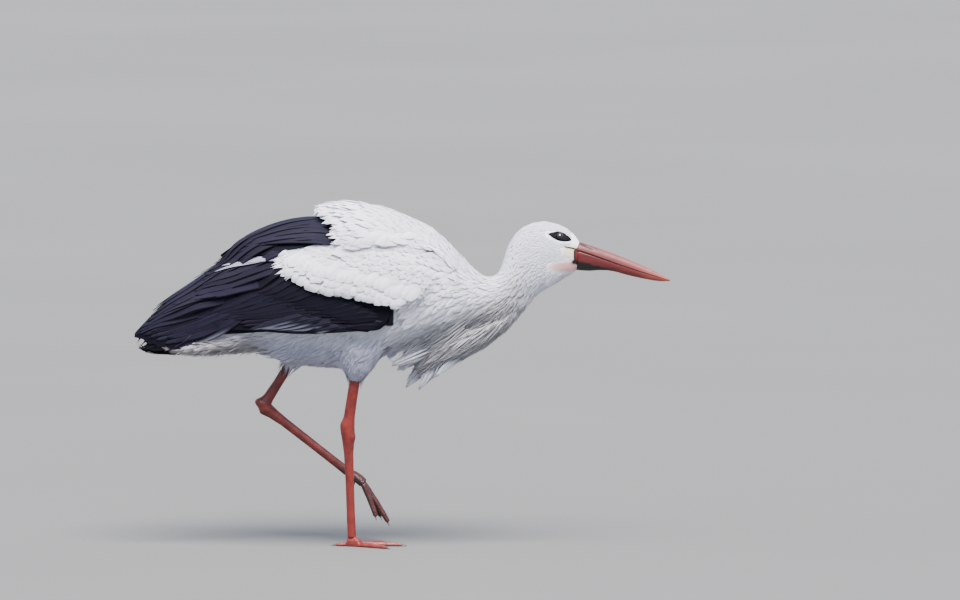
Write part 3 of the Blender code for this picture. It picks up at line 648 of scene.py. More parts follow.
# Cross-sections of a vane: share of the half width, height in thicknesses.
FINE_RING = np.array(((-1, 0), (0, 1), (1, 0), (0, -0.6)))
SOFT_RING = np.array(((-1, 0), (-0.75, 0.8), (0.02, 1), (0.75, 0.8), (1, 0), (0, -0.5)))
FLIGHT_RING = np.array((
    (-1, 0.0), (-0.72, 0.35), (-0.42, 0.45), (-0.16, 0.5), (-0.05, 1.5), (0.05, 0.5),
    (0.3, 0.45), (0.62, 0.4), (1, 0.0), (0.7, -0.5), (0.25, -0.5), (-0.05, -0.6),
    (-0.4, -0.5), (-0.8, -0.5),
))


def leaf(tip, waist=0.55, root=0.35):
    """A width profile along a vane: from a narrow root to a tip of the given share."""

    def at(s):
        rise = root + (1 - root) * np.sin(np.clip(s / waist, 0, 1) * math.pi / 2)
        return rise * blend(1.0, tip, ease(waist, 1.0, s) ** 1.3)

    return at


def vane_faces(count, stations, columns):
    """Quads round and between the rings, with quads across both ends."""
    ring = np.arange(columns)
    after = (ring + 1) % columns
    rows = np.arange(stations - 1)[:, None] * columns
    walls = (rows + ring, rows + after, rows + columns + after, rows + columns + ring)
    k = np.arange(columns // 2 - 1)
    tip = np.stack((k, k + 1, columns - 2 - k, columns - 1 - k), axis=-1)
    walls = np.stack(walls, axis=-1).reshape(-1, 4)
    one = np.concatenate((walls, tip[:, ::-1], tip + (stations - 1) * columns))
    starts = np.arange(count)[:, None, None] * stations * columns
    return (one[None] + starts).reshape(-1, 4)


def hoop_faces(rings, sides):
    """Quads of a closed hoop of rings: between neighbours, and from the last to the first."""
    last = (rings - 1) * sides
    ring = np.arange(sides)
    after = (ring + 1) % sides
    close = np.stack((last + ring, last + after, after, ring), axis=-1)
    return np.concatenate((vane_faces(1, rings, sides)[:last], close))


def vanes(paths, normals, half, ring, profile, thick, camber, tilt, ends):
    """Points, faces and corner normals of many closed vanes.

    paths and normals are (feathers, stations, 3); half is each one's half width; ends is
    how far along its feather each column of each ring reaches, as a share.
    """
    count, stations, _ = paths.shape
    columns = len(ring)
    s = np.linspace(0, 1, stations)
    if ends is None:
        ends = np.ones((count, columns))
    reach = s[None, :, None] * ends[:, None, :] * (stations - 1)
    low = np.minimum(reach.astype(int), stations - 2)
    part = (reach - low)[..., None]
    who = np.arange(count)[:, None, None]
    tangents = unit(np.gradient(paths, axis=1))
    sides = unit(np.cross(tangents, normals))
    ups = unit(np.cross(sides, tangents))
    middle, side, up = (
        values[who, low] * (1 - part) + values[who, low + 1] * part for values in (paths, sides, ups)
    )
    width = half[:, None, None] * profile(s)[None, :, None]
    across, height = ring[:, 0], ring[:, 1]
    crown = camber * width * (1 - across[None, None, :] ** 2)
    lean = tilt * width * across[None, None, :]
    rise = height[None, None, :] * (thick * (1 - 0.6 * s))[None, :, None] + crown + lean
    points = middle + side * (width * across)[..., None] + up * rise[..., None]

    # Corner normals: up on the vane and its end caps, down on its underside, and rounded
    # outwards a little towards the sides.
    quads = vane_faces(count, stations, columns)
    rings = quads // columns
    cap = (rings == rings[:, :1]).all(axis=1)
    below = (height < 0)[quads % columns].any(axis=1) & ~cap
    facing = np.repeat(np.where(below, -1.0, 1.0), 4)[:, None]
    outwards = (side * 0.3 * across[None, None, :, None]).reshape(-1, 3)
    up = np.broadcast_to(up, points.shape).reshape(-1, 3)
    corners = quads.ravel()
    return points.reshape(-1, 3), quads, unit(up[corners] * facing + outwards[corners])


def vane_maps(mesh, quads, paths, half, ring, profile):
    """The Vane map in metres from the shaft and root, and the OFBake patches."""
    count, stations, _ = paths.shape
    lengths = np.linalg.norm(np.diff(paths, axis=1), axis=2).sum(axis=1)
    s = np.linspace(0, 1, stations)
    across = ring[None, None, :, 0] * half[:, None, None] * profile(s)[None, :, None]
    run = np.broadcast_to(s[None, :, None] * lengths[:, None, None], across.shape)
    vane = np.stack((across, run), axis=-1).reshape(-1, 2)
    local = np.stack(np.broadcast_arrays(ring[None, :, 0] * 0.5 + 0.5, s[:, None]), axis=-1)
    patch = BAKE.at(paths[:, 0])[:, None, None, :] + BAKE_PATCH * (local[None] - 0.5)
    patch = np.broadcast_to(patch, (count, stations, len(ring), 2)).reshape(-1, 2)
    set_uv(mesh, "OFBake", patch[quads.ravel()])
    set_uv(mesh, "Vane", vane[quads.ravel()])


def coat_piece(name, coat, paths, normals, half, paint, ring=SOFT_RING, profile=leaf(0.25),
               thick=0.0005, camber=0.12, tilt=0.0, ends=None, soft=False):
    """Make one piece of plumage from feathers laid along paths.

    coat holds the material and a slot name, which is not used; paint gives colours from each
    point's feather and its share of that feather's length; soft plumage is shaded as one surface.
    """
    count, stations, _ = paths.shape
    points, quads, shading = vanes(paths, normals, half, ring, profile, thick, camber, tilt, ends)
    mesh = make_mesh(name, points, quads, shading if soft else None)
    vane_maps(mesh, quads, paths, half, ring, profile)
    feather = np.repeat(np.arange(count), stations * len(ring))
    s = np.tile(np.repeat(np.linspace(0, 1, stations), len(ring)), count)
    set_colours(mesh, paint(feather, s))
    add_piece(name, mesh, *coat)


def white_paint(roots, rng, spread, streak=0.0):
    """Paint for white feathers: the coat's colour at the root, a little uneven."""
    base = coat_colours(roots) * (1 + rng.normal(0, spread, len(roots)))[:, None]
    if streak:
        base = base * (1 - rng.random(len(roots)) ** 2 * streak)[:, None]
    return lambda feather, s: base[feather] * blend(0.90, 1.0, s)[:, None]


def plume_paint(roots, rng):
    """Paint from the coat's colour, with its painted shade, to clean white at each plume's tip."""
    base = coat_colours(roots) * rng.uniform(0.75, 1.0, len(roots))[:, None]
    return lambda feather, s: tint(base[feather], WHITE, ease(0.05, 0.55, s))


def plain_paint(colour, count, rng):
    """Paint of one colour, a little lighter or darker from feather to feather."""
    gloss = rng.uniform(0.8, 1.2, count)
    return lambda feather, s: colour * gloss[feather][:, None]


def black_paint(count, rng, silver, lower, tone):
    """Paint for flight feathers: near black, browner edges, silver on some outer webs.

    lower is the sign of the ring's columns below the shaft on this side of the bird.
    """
    gloss = rng.uniform(0.8, 1.3, count)

    def paint(feather, s):
        across = np.tile(FLIGHT_RING[:, 0], len(s) // len(FLIGHT_RING))
        colours = NEAR_BLACK * tone * gloss[feather][:, None]
        colours = tint(colours, BROWN_EDGE, ease(0.60, 1.0, np.abs(across)) * min(0.3 * tone, 0.6))
        web = ease(0.30, 0.60, across * lower) * ease(0.30, 0.55, s) * ease(1.0, 0.85, s)
        return tint(colours, SILVER, web * silver[feather])

    return paint


# ---------------------------------------------------------------- laying the small feathers


def lie_at(points):
    """Heading, length, width share and lift at each point, from the nearest guides."""
    gap = ((points[:, None, (0, 2)] - LIE[None, :, :2]) ** 2).sum(axis=2)
    weight = 1 / (gap + 0.006**2) ** 2
    weight /= weight.sum(axis=1, keepdims=True)
    turn = np.radians(LIE[:, 2])
    heading = (weight @ np.cos(turn), np.zeros(len(points)), weight @ np.sin(turn))
    return unit(np.stack(heading, axis=1)), *(weight @ LIE[:, 3:]).T


def scatter(surface, keep, density, rng):
    """Well-spaced places on the part of a surface that keep() accepts.

    density is the spacing of neighbours as a share of the feathers' length.
    """
    corners = np.array([face[:4] if len(face) > 3 else (*face, face[2]) for face in surface.faces])
    quads = surface.points[corners]
    centres = quads.mean(axis=1)
    area = np.linalg.norm(np.cross(quads[:, 2] - quads[:, 0], quads[:, 3] - quads[:, 1]), axis=1) / 2
    spacing = lie_at(centres)[1] * density
    expected = np.where(keep(centres), area / spacing**2, 0.0)
    total = int(expected.sum() * 4)
    faces = rng.choice(len(expected), size=total, p=expected / expected.sum())
    u, v = rng.random(total)[:, None], rng.random(total)[:, None]
    q = quads[faces]
    places = blend(blend(q[:, 0], q[:, 1], u), blend(q[:, 3], q[:, 2], u), v)
    picked = []
    grids = {}
    for i, (place, radius) in enumerate(zip(places, spacing[faces])):
        cell = 2.0 ** round(math.log2(radius))
        if claim(grids.setdefault(cell, {}), cell, place, radius):
            picked.append(i)
    normals = surface.normals[corners[faces[picked]]].mean(axis=1)
    return places[picked], unit(normals)


def trace(surface, root, heading, length, stations, edge=2.0):
    """Follow a surface from root; returns places, normals and where it falls away.

    It falls away where its normal leans ahead by more than the edge.
    """
    place = Vector(root)
    ahead = Vector(heading)
    step = length / (stations - 1)
    places, normals, free = [], [], None
    normal = None
    for k in range(stations):
        if free is None:
            on, here = surface.nearest(place)
            if here.dot(ahead) > edge and normal is not None:
                free = k
            else:
                normal = here
                ahead = (ahead - normal * ahead.dot(normal)).normalized()
                place = on
        places.append(place.copy())
        normals.append(normal)
        place = place + ahead * step
    return places, normals, free


def lay(surface, roots, headings, lengths, lifts, sink, stations, overhang):
    """Lay feathers along a surface: each starts sunk below it and ends lifted above it.

    A feather that would run far past an edge of the form is cut to the overhang, or left
    out where the edge is too near.  Returns the paths, normals, feathers kept and lengths.
    """
    kept, final, paths, normals = [], [], [], []
    share = np.linspace(0, 1, stations)
    for i, root in enumerate(roots):
        length, edge = lengths[i], FREE_EDGE
        if surface.nearest(Vector(root))[1].dot(Vector(headings[i])) > FREE_EDGE:
            length, edge = length * 0.5, 2.0
        places, across, free = trace(surface, root, headings[i], length, stations, edge)
        if free is not None:
            room = length * (free - 0.5) / (stations - 1)
            if room < 0.4 * length:
                continue
            length = min(length, room + overhang)
            places, across, free = trace(surface, root, headings[i], length, stations, edge)
        height = blend(-sink[i], lifts[i], share**1.6)
        across = np.array(across)
        kept.append(i)
        final.append(length)
        paths.append(np.array(places) + across * height[:, None])
        normals.append(across)
    return np.array(paths), np.array(normals), np.array(kept), np.array(final)


def turned(headings, normals, angles):
    """Turn each heading about its normal by its angle."""
    cos, sin = np.cos(angles)[:, None], np.sin(angles)[:, None]
    return headings * cos + np.cross(normals, headings) * sin


def off_flesh(place):
    """Whether a place near the loose locks is on a web that only the closing of creases made."""
    near_locks = place.z <= 0.372 and -0.05 < place.x < 0.12
    return near_locks and OPEN.tree.find_nearest(place)[3] > 0.003


def cover_depth(x):
    """How deep feathers may be rooted: not far under the wings, but deep in the neck's crease."""
    return 0.008 if x < -0.03 else 0.020


def bare_face(x, z):
    """How bare the cheek and the chin are at each place, as two shares."""
    cheek = np.hypot((x - 0.3060) / 0.0200, (z - 0.5338) / 0.0125)
    chin = np.hypot((x - 0.3000) / 0.0400, (z - 0.5070) / 0.0125)
    return ease(1.20, 0.70, cheek), ease(1.20, 0.45, chin)


EYE_CLEARING = (0.022, 0.0085)  # half extents of the feathers' opening round the eye
EYES = {label: sum(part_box(f"eye_{label}"), Vector()) / 2 for label, _ in SIDES}


def hidden(root, normal, rng):
    """Whether no feather of the coat grows here: on the black, the bare skin or a lock."""
    start = Vector(root)
    if over_black(start, Vector(normal)):
        return True
    if start.x > bill_border(start.z) - 0.0006 or start.x < COAT_REAR:
        return True
    if lock_share(root)[0] > LOCK_COAT or off_flesh(start):
        return True
    if rng.random() < 1.1 * max(bare_face(start.x, start.z)):
        return True
    gap = start - EYES["right" if start.y < 0 else "left"]
    across = gap.x * 0.96 + gap.z * 0.28
    upward = gap.z * 0.96 + gap.x * 0.28
    return (across / EYE_CLEARING[0]) ** 2 + (upward / EYE_CLEARING[1]) ** 2 < 1


def grow(name, keep, grown, laid, rng, ring=SOFT_RING, stations=6, density=0.28, tip=0.25,
         thick=0.0004, camber=0.10, fray=0.12, blunt=0.1, spread=0.03, streak=0.0, stray=0.12,
         longer=1.0, lift=1.0, wider=1.0, overhang=0.004, soft=True):
    """Scatter, lay and shape the small feathers of one region, as one piece.

    They are scattered over one surface and laid along another.
    """
    roots, normals = scatter(grown, keep, density, rng)
    seen = []
    for root, normal in zip(roots, normals):
        gap = (laid.nearest(Vector(root))[0] - Vector(root)).length
        seen.append(gap < cover_depth(root[0]) and not hidden(root, normal, rng))
    roots, normals = roots[seen], normals[seen]
    headings, lengths, shares, lifts = lie_at(roots)
    count = len(roots)
    headings = turned(headings, normals, rng.normal(0, stray, count))
    lengths = lengths * longer * rng.uniform(0.85, 1.15, count)
    lifts = lifts * lift * rng.uniform(0.4, 1.6, count)

    # A feather that would reach over the black is shortened, or left out.
    fits = np.ones(count, dtype=bool)
    for i in range(count):
        for share in SHORTENED:
            ahead = headings[i] * lengths[i] * share
            places = [laid.nearest(Vector(roots[i] + ahead * part)) for part in (1.0, 0.6)]
            if not any(over_black(place, outward) for place, outward in places):
                break
        else:
            fits[i] = False
        lengths[i] *= share
    roots, headings, lengths = roots[fits], headings[fits], lengths[fits]
    sink = np.minimum(0.12 * lengths, coat_depth(roots) * 0.9)
    paths, across, kept, final = lay(
        laid, roots, headings, lengths, lifts[fits], sink, stations, overhang
    )
    roots, shares = roots[kept], shares[fits][kept]
    ends = 1 - fray * rng.random((len(kept), len(ring))) - blunt * ring[None, :, 0] ** 2
    half = lie_at(roots)[1] * shares * (final / lengths[kept]) ** 0.5 * wider
    paint = white_paint(roots, rng, spread, streak)
    coat_piece(name, WHITE_COAT, paths, across, half, paint, ring, leaf(tip), thick, camber,
               ends=ends, soft=soft)


# ---------------------------------------------------------------- regions of the coat


def in_head(p):
    """Each of these tells which of the places p, given as rows, are in a region."""
    return (p[:, 0] > 0.196) & (p[:, 2] > 0.455)


def in_breast(p):
    line = 0.352 + 0.66 * np.maximum(p[:, 0] - 0.03, 0.0)
    return (p[:, 0] > -0.03) & (p[:, 2] < line) & (p[:, 0] <= 0.245) & ~in_head(p)


def in_neck(p):
    return ~in_head(p) & (p[:, 0] > NECK_BASE) & (p[:, 2] > 0.30) & ~in_breast(p)


def by_crease(p):
    """Along the crease between the breast plumes and the trunk, on both sides."""
    near = np.abs(p[:, 2] - height_on(CREASE_LINE, p[:, 0])) < 0.020
    (front, _), *_, (rear, _) = CREASE_LINE
    return near & (p[:, 0] > rear) & (p[:, 0] < front) & (np.abs(p[:, 1]) > 0.012)


def on_mantle(p):
    return (p[:, 2] > 0.538 + 0.10 * np.maximum(p[:, 0] + 0.02, 0)) & (p[:, 0] <= NECK_BASE)


def on_flank(p):
    return ~on_mantle(p) & (p[:, 0] <= NECK_BASE) & ~in_breast(p)


def make_coat():
    """All the white plumage, region by region."""
    rng = np.random.default_rng(11)
    grow("coat_head", in_head, OUTER, WHOLE, rng, FINE_RING, 4, density=0.27, tip=0.3,
         thick=0.0001, fray=0.2, spread=0.015, lift=0.3, camber=0.0)
    grow("coat_neck", in_neck, OUTER, WHOLE, rng, FINE_RING, 5, density=0.20, tip=0.15,
         fray=0.25, spread=0.02, streak=0.04, stray=0.10, lift=0.35, thick=0.0002, camber=0.05)
    grow("coat_breast", in_breast, OPEN, OPEN, rng, FINE_RING, 9, density=0.075, tip=0.05,
         fray=0.25, spread=0.07, streak=0.30, stray=0.11, camber=0.12, wider=0.45,
         soft=False, overhang=0.008, lift=1.2)
    bridge = Surface(remeshed("bridge", FLESH, 0.004, 8, BREAST_GAP))
    grow("coat_shoulder", by_crease, bridge, bridge, rng, FINE_RING, 9, density=0.085, tip=0.05,
         fray=0.25, spread=0.08, streak=0.35, stray=0.08, thick=0.0005, camber=0.2, wider=0.36,
         longer=1.25, soft=False)
    grow("coat_mantle", on_mantle, OUTER, WHOLE, rng, stations=8, density=0.16, tip=0.12,
         fray=0.18, spread=0.02, stray=0.14, thick=0.00025, camber=0.12, lift=0.35)
    for label, side in SIDES:
        def on_coverts(p, side=side):
            return on_flank(p) & (p[:, 2] > WING_HEM) & (p[:, 1] * side > 0)

        grow(f"coat_coverts_{label}", on_coverts, OUTER, WHOLE, rng, density=0.26, tip=0.55,
             fray=0.10, blunt=0.22, spread=0.025, stray=0.14, thick=0.0003, lift=0.45)

    def on_belly(p):
        return on_flank(p) & (p[:, 2] <= WING_HEM)

    grow("coat_belly", on_belly, OUTER, WHOLE, rng, density=0.15, tip=0.10, fray=0.3,
         spread=0.04, streak=0.12, stray=0.17, longer=1.25, overhang=0.007)
    for label, side in SIDES:
        make_edges(label, side)
    make_locks()


# ---------------------------------------------------------------- rows of feathers

# Rows of feathers with their tips along a line: tips as x, z; count; heading; length; half
# width; share of the half width left at the tip.
WHITE_ROWS = (
    ("covert_edge", COVERT_BORDER, 17, 226, 0.030, 0.0098, 0.85),
    ("wing_front", ((-0.0100, 0.441), (-0.0095, 0.430), (-0.0050, 0.418), (0.0000, 0.408)),
     9, 214, 0.030, 0.0062, 0.5),
    ("wing_front_second", ((0.002, 0.438), (0.001, 0.425), (-0.002, 0.410), (-0.006, 0.398)),
     9, 216, 0.032, 0.0064, 0.5),
    ("covert_second", ((0.004, 0.440), (-0.060, 0.461), (-0.143, 0.480), (-0.196, 0.502),
                       (-0.208, 0.518)), 22, 222, 0.034, 0.0085, 0.85),
    ("covert_third", ((0.006, 0.452), (-0.060, 0.475), (-0.143, 0.493), (-0.190, 0.511)),
     20, 218, 0.036, 0.0090, 0.85),
    ("mantle_hem", ((-0.010, 0.562), (-0.038, 0.549), (-0.070, 0.556), (-0.100, 0.546),
                    (-0.128, 0.551)), 17, 204, 0.042, 0.0088, 0.6),
    ("covert_tuft", ((-0.222, 0.492), (-0.233, 0.508), (-0.238, 0.521), (-0.226, 0.530)),
     16, 196, 0.036, 0.0036, 0.15),
    ("covert_tuft_under", ((-0.206, 0.484), (-0.213, 0.498), (-0.220, 0.518)),
     16, 218, 0.032, 0.0034, 0.15),
    ("tail_fringe", ((-0.412, 0.352), (-0.370, 0.347), (-0.300, 0.348), (-0.255, 0.350)),
     30, 206, 0.026, 0.0026, 0.08),
    ("tail_fringe_upper", ((-0.405, 0.358), (-0.360, 0.352), (-0.300, 0.353), (-0.250, 0.356)),
     26, 204, 0.030, 0.0030, 0.08),
    ("rump_fringe", ((-0.250, 0.351), (-0.222, 0.343), (-0.204, 0.331)),
     14, 220, 0.030, 0.0030, 0.08),
)
TAIL_TIP = ((-0.479, 0.366), (-0.477, 0.357), (-0.458, 0.351), (-0.430, 0.350))  # black: x, z
ROW_STATIONS = 8
ROW_ROOT = 0.0030  # how deep below the surface a row's feathers start
ROW_JITTER = 0.0022

# The mantle's ragged rear edge: x, z; a z of None is the ridge.
MANTLE_TIPS = (
    (-0.158, None), (-0.152, 0.598), (-0.123, 0.582), (-0.135, 0.563), (-0.122, 0.547),
    (-0.134, 0.538),
)
MANTLE_ROWS = 4


def tip_place(x, z, side):
    """Where a feather's tip at x and z lies, on one side of the bird."""
    hit = hit_from(WHOLE.tree, (x, side * 0.3, z), (0, -side, 0), 0.3)
    if hit is None:
        hit, _ = WHOLE.nearest(Vector((x, side * 0.04, z)))
    return Vector((x, hit.y, z))


def path_to_tip(tip, heading, length):
    """A feather's path and normals, ending at a tip that may stand off the body."""
    on, _ = WHOLE.nearest(tip)
    places, normals, _ = trace(WHOLE, on, -heading, length, ROW_STATIONS)
    path = smooth_rows(np.array(places[::-1]), 4)
    normals = unit(smooth_rows(np.array(normals[::-1]), 4))
    share = np.linspace(0, 1, ROW_STATIONS)[:, None]
    return path + (np.array(tip) - path[-1]) * share**2.5, normals


def row_piece(name, tips, turn, length, half, tip_share, rng, rise=0.0034, spread=0.02, black=None):
    """Feathers whose tips lie at given places, heading at an angle in the XZ plane.

    They grow from under the body's surface and stand the rise off it at their tips.  black
    is the colour of those that aren't white.
    """
    paths, normals = [], []
    s = np.linspace(0, 1, ROW_STATIONS)[:, None]
    for tip in tips:
        angle = math.radians(turn) + rng.normal(0, 0.08)
        heading = Vector((math.cos(angle), 0, math.sin(angle)))
        path, normal = path_to_tip(tip, heading, length * rng.uniform(0.85, 1.15))
        paths.append(path + normal * blend(-ROW_ROOT, rise, ease(-0.2, 0.8, s)))
        normals.append(normal)
    paths = np.array(paths)
    halves = half * rng.uniform(0.85, 1.15, len(tips))
    across = SOFT_RING[None, :, 0]
    ends = 1 - 0.22 * across**2 - 0.06 * rng.random((len(tips), len(SOFT_RING)))
    if black is None:
        coat, paint = WHITE_COAT, white_paint(paths[:, 0], rng, spread)
    else:
        coat, paint = BLACK_COAT, plain_paint(black, len(tips), rng)
    coat_piece(name, coat, paths, np.array(normals), halves, paint, profile=leaf(tip_share, 0.6, 0.5),
               ends=ends, soft=True)


def make_edges(label, side):
    """Rows of feathers that overhang the black wing, the tail and the rump."""
    rng = np.random.default_rng(300 + side)
    for name, line, count, *shape in WHITE_ROWS:
        places = along(line, count) + rng.normal(0, ROW_JITTER, (count, 2))
        tips = [tip_place(x, z, side) for x, z in places]
        row_piece(f"{name}_{label}", tips, *shape, rng)
    make_mantle_edge(label, side, rng)
    make_thigh_fringe(label, side)


def make_mantle_edge(label, side, rng):
    """The mantle's ragged rear rows, lying over the black scapulars."""
    tips = []
    edge = [(x, angle_of((WHOLE.tree,), x, z, side)) for x, z in MANTLE_TIPS]
    for row in range(MANTLE_ROWS):
        for x, angle in along(edge, 15 - row):
            x += 0.013 * row + rng.normal(0, 0.0030)
            angle += rng.normal(0, 0.02)
            place, normal, _ = wing_place((WHOLE.tree,), x, angle, side, 0.1)
            tips.append(place + normal * (0.001 + 0.0006 * row))
    row_piece(f"mantle_edge_{label}", tips, 180, 0.042, 0.0068, 0.35, rng, 0.0030)


def make_thigh_fringe(label, side):
    """Loose feathers that hang from the thigh over the top of the bare leg."""
    rng = np.random.default_rng(60 + side)
    leg_low, leg_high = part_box(f"tibia_{label}")
    thigh_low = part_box(f"thigh_{label}")[0]
    forward = leg_low.x if label == "left" else leg_low.x + LEG_RADIUS
    knee = Vector((forward + LEG_RADIUS, (leg_low.y + leg_high.y) / 2, leg_low.z))
    top = Vector((leg_high.x - LEG_RADIUS, knee.y, leg_high.z))
    run = (knee - top).normalized()
    hem = top + run * (top.z - thigh_low.z) / -run.z
    across = run.cross(Vector((0, 1, 0))).normalized()
    tips = []
    for _ in range(THIGH_PLUMES):
        turn = rng.uniform(0, 2 * math.pi)
        spoke = across * math.cos(turn) + Vector((0, 1, 0)) * math.sin(turn)
        tips.append(hem + spoke * rng.uniform(0.008, 0.013) + run * rng.uniform(-0.020, 0.015))
    heading = math.degrees(math.atan2(run.z, run.x))
    row_piece(f"thigh_fringe_{label}", tips, heading, 0.032, 0.0024, 0.1, rng, 0.0004, 0.04)


def make_locks():
    """Pointed locks: long thin plumes that run together to one tip."""
    rng = np.random.default_rng(41)
    t = np.linspace(0, 1, 9)[:, None]
    sideways = np.array((0.0, 1.0, 0.0))
    paths, normals, halves = [], [], []
    for root, tip, half in LOCKS:
        root, tip = np.array(root), np.array(tip)
        drop = tip - root
        run = unit(drop)
        outward = unit(np.cross(sideways, run))
        for _ in range(LOCK_PLUMES):
            turn = rng.uniform(0, 2 * math.pi)
            spoke = sideways * math.cos(turn) + outward * math.sin(turn)
            out = rng.random() ** 0.45
            start = root - run * rng.uniform(-0.002, 0.040) + spoke * half * out * 1.1
            place, normal = OUTER.nearest(Vector(start))
            outside = (Vector(start) - place).dot(normal)
            if outside > LOCK_STRAY:
                continue
            if outside > -LOCK_ROOT:
                start = np.array(place) - LOCK_ROOT * np.array(normal)
            middle = root + drop * 0.5 + spoke * half * out * 1.2
            back = rng.random() ** 2 * 0.5
            end = tip - drop * back + spoke * out * (0.0016 + half * 0.9 * back)
            paths.append((1 - t) ** 2 * start + 2 * t * (1 - t) * middle + t**2 * end)
            normals.append(np.tile(unit(spoke + 0.01), (len(t), 1)))
            halves.append(rng.uniform(0.0011, 0.0023))
    paths = np.array(paths)
    coat_piece("breast_locks", WHITE_COAT, paths, np.array(normals), np.array(halves),
               plume_paint(paths[:, 0], rng), FINE_RING, leaf(0.06, 0.5, 0.6), camber=0.15)


# ---------------------------------------------------------------- flight feathers

# Fans of flight feathers: name; count; root and tip of the lowest feather, then of the
# highest, as (x, z) with a z of None for the ridge; half widths of both; bow in radians of
# roll; height of the layer; how far the highest feather's tip rises; how pale the black is;
# which feathers have silver outer webs.
FANS = (
    ("primaries", 7, (-0.265, 0.436), (-0.406, 0.360), (-0.262, 0.480), (-0.480, 0.386),
     (0.011, 0.012), 0.00, 0.0000, 0.0006, 2.6, (0,)),
    ("lower_primaries", 6, (-0.300, 0.420), (-0.416, 0.359), (-0.290, 0.445), (-0.479, 0.382),
     (0.011, 0.011), 0.00, -0.0002, 0.0006, 2.3, ()),
    ("inner_primaries", 5, (-0.262, 0.470), (-0.474, 0.396), (-0.250, None), (-0.442, None),
     (0.012, 0.013), 0.01, 0.0004, 0.006, 2.6, ()),
    ("long_tertials", 4, (-0.198, 0.488), (-0.410, 0.440), (-0.225, None), (-0.369, None),
     (0.013, 0.014), 0.01, 0.0006, 0.006, 2.5, ()),
    ("secondaries", 9, (-0.026, 0.409), (-0.272, 0.398), (-0.200, 0.490), (-0.372, 0.424),
     (0.009, 0.014), 0.00, 0.0003, 0.0006, 1.6, ()),
    ("tertials", 8, (-0.197, 0.496), (-0.380, 0.446), (-0.215, None), (-0.338, None),
     (0.014, 0.016), 0.02, 0.0012, 0.006, 2.4, ()),
    ("greater_coverts", 14, (-0.019, 0.414), (-0.098, 0.405), (-0.190, 0.528), (-0.300, 0.455),
     (0.011, 0.014), 0.01, 0.0009, 0.0006, 1.3, ()),
    ("silver_webs", 5, (-0.098, 0.412), (-0.190, 0.3955), (-0.158, 0.432), (-0.276, 0.398),
     (0.0068, 0.0088), 0.00, 0.0016, 0.0006, 1.6, (0, 1, 2, 3, 4)),
    ("pale_streak", 3, (-0.205, 0.527), (-0.318, 0.508), (-0.205, 0.535), (-0.341, 0.507),
     (0.0066, 0.0050), 0.00, 0.0050, 0.0006, 1.0, ()),
    ("scapular_vanes", 10, (-0.118, 0.557), (-0.285, 0.542), (-0.120, None), (-0.327, None),
     (0.013, 0.015), 0.02, 0.0022, 0.005, 2.1, ()),
)
FLIGHT_STATIONS = 30
LOWEST_RISE = 0.0006  # how far the lowest feather's tip stands off its layer
ROOT_DEPTH = 0.0035  # how far below the surface a flight feather starts
CORE_DEPTH = 0.0005  # how far the wing's closed body lies inside its nodes
RIDGE_OFFSET = 0.010  # how far from the midline the topmost feathers' shafts lie


def axis_height(x):
    """Height of a line inside the body, from which the wings' surfaces are looked for."""
    return 0.464 - 0.242 * max(0.0, -0.07 - x)


def wing_place(trees, x, angle, side, radius):
    """A wing's outer point at x, at an angle from straight up, with its normal and radius.

    Where none of the trees is met, the point is at the given radius.
    """
    outward = Vector((0, side * math.sin(angle), math.cos(angle)))
    axis = Vector((x, 0, axis_height(x)))
    for tree in trees:
        hit, normal, _, _ = tree.ray_cast(axis + outward * 0.3, -outward, 0.3)
        if hit is not None:
            return hit, normal, (hit - axis).length
    return axis + outward * radius, outward, radius


def angle_of(trees, x, z, side):
    """The angle from straight up at which a wing is at x and z; z None is the ridge."""
    if z is None:
        _, _, radius = wing_place(trees, x, 0.05, side, 0.1)
        return math.asin(min(RIDGE_OFFSET / radius, 1.0))
    hits = [hit_from(tree, (x, side * 0.4, z), (0, -side, 0), 0.4) for tree in trees]
    hits = [hit for hit in hits if hit is not None and hit.y * side > 0]
    hits.append(trees[-1].find_nearest(Vector((x, side * 0.05, z)))[0])
    return math.atan2(abs(hits[0].y), z - axis_height(x))


def wing_feather(trees, root, tip, bow, side):
    """The path of one flight feather over a wing node, from (x, angle) to (x, angle)."""
    points, normals = [], []
    radius = 0.1
    for t in np.linspace(0, 1, FLIGHT_STATIONS):
        x = blend(root[0], tip[0], t)
        angle = blend(root[1], tip[1], t) - bow * 4 * t * (1 - t)
        place, normal, radius = wing_place(trees, x, angle, side, radius)
        points.append(place)
        normals.append(normal)
    return smooth_rows(np.array(points), 12), unit(smooth_rows(np.array(normals), 24))


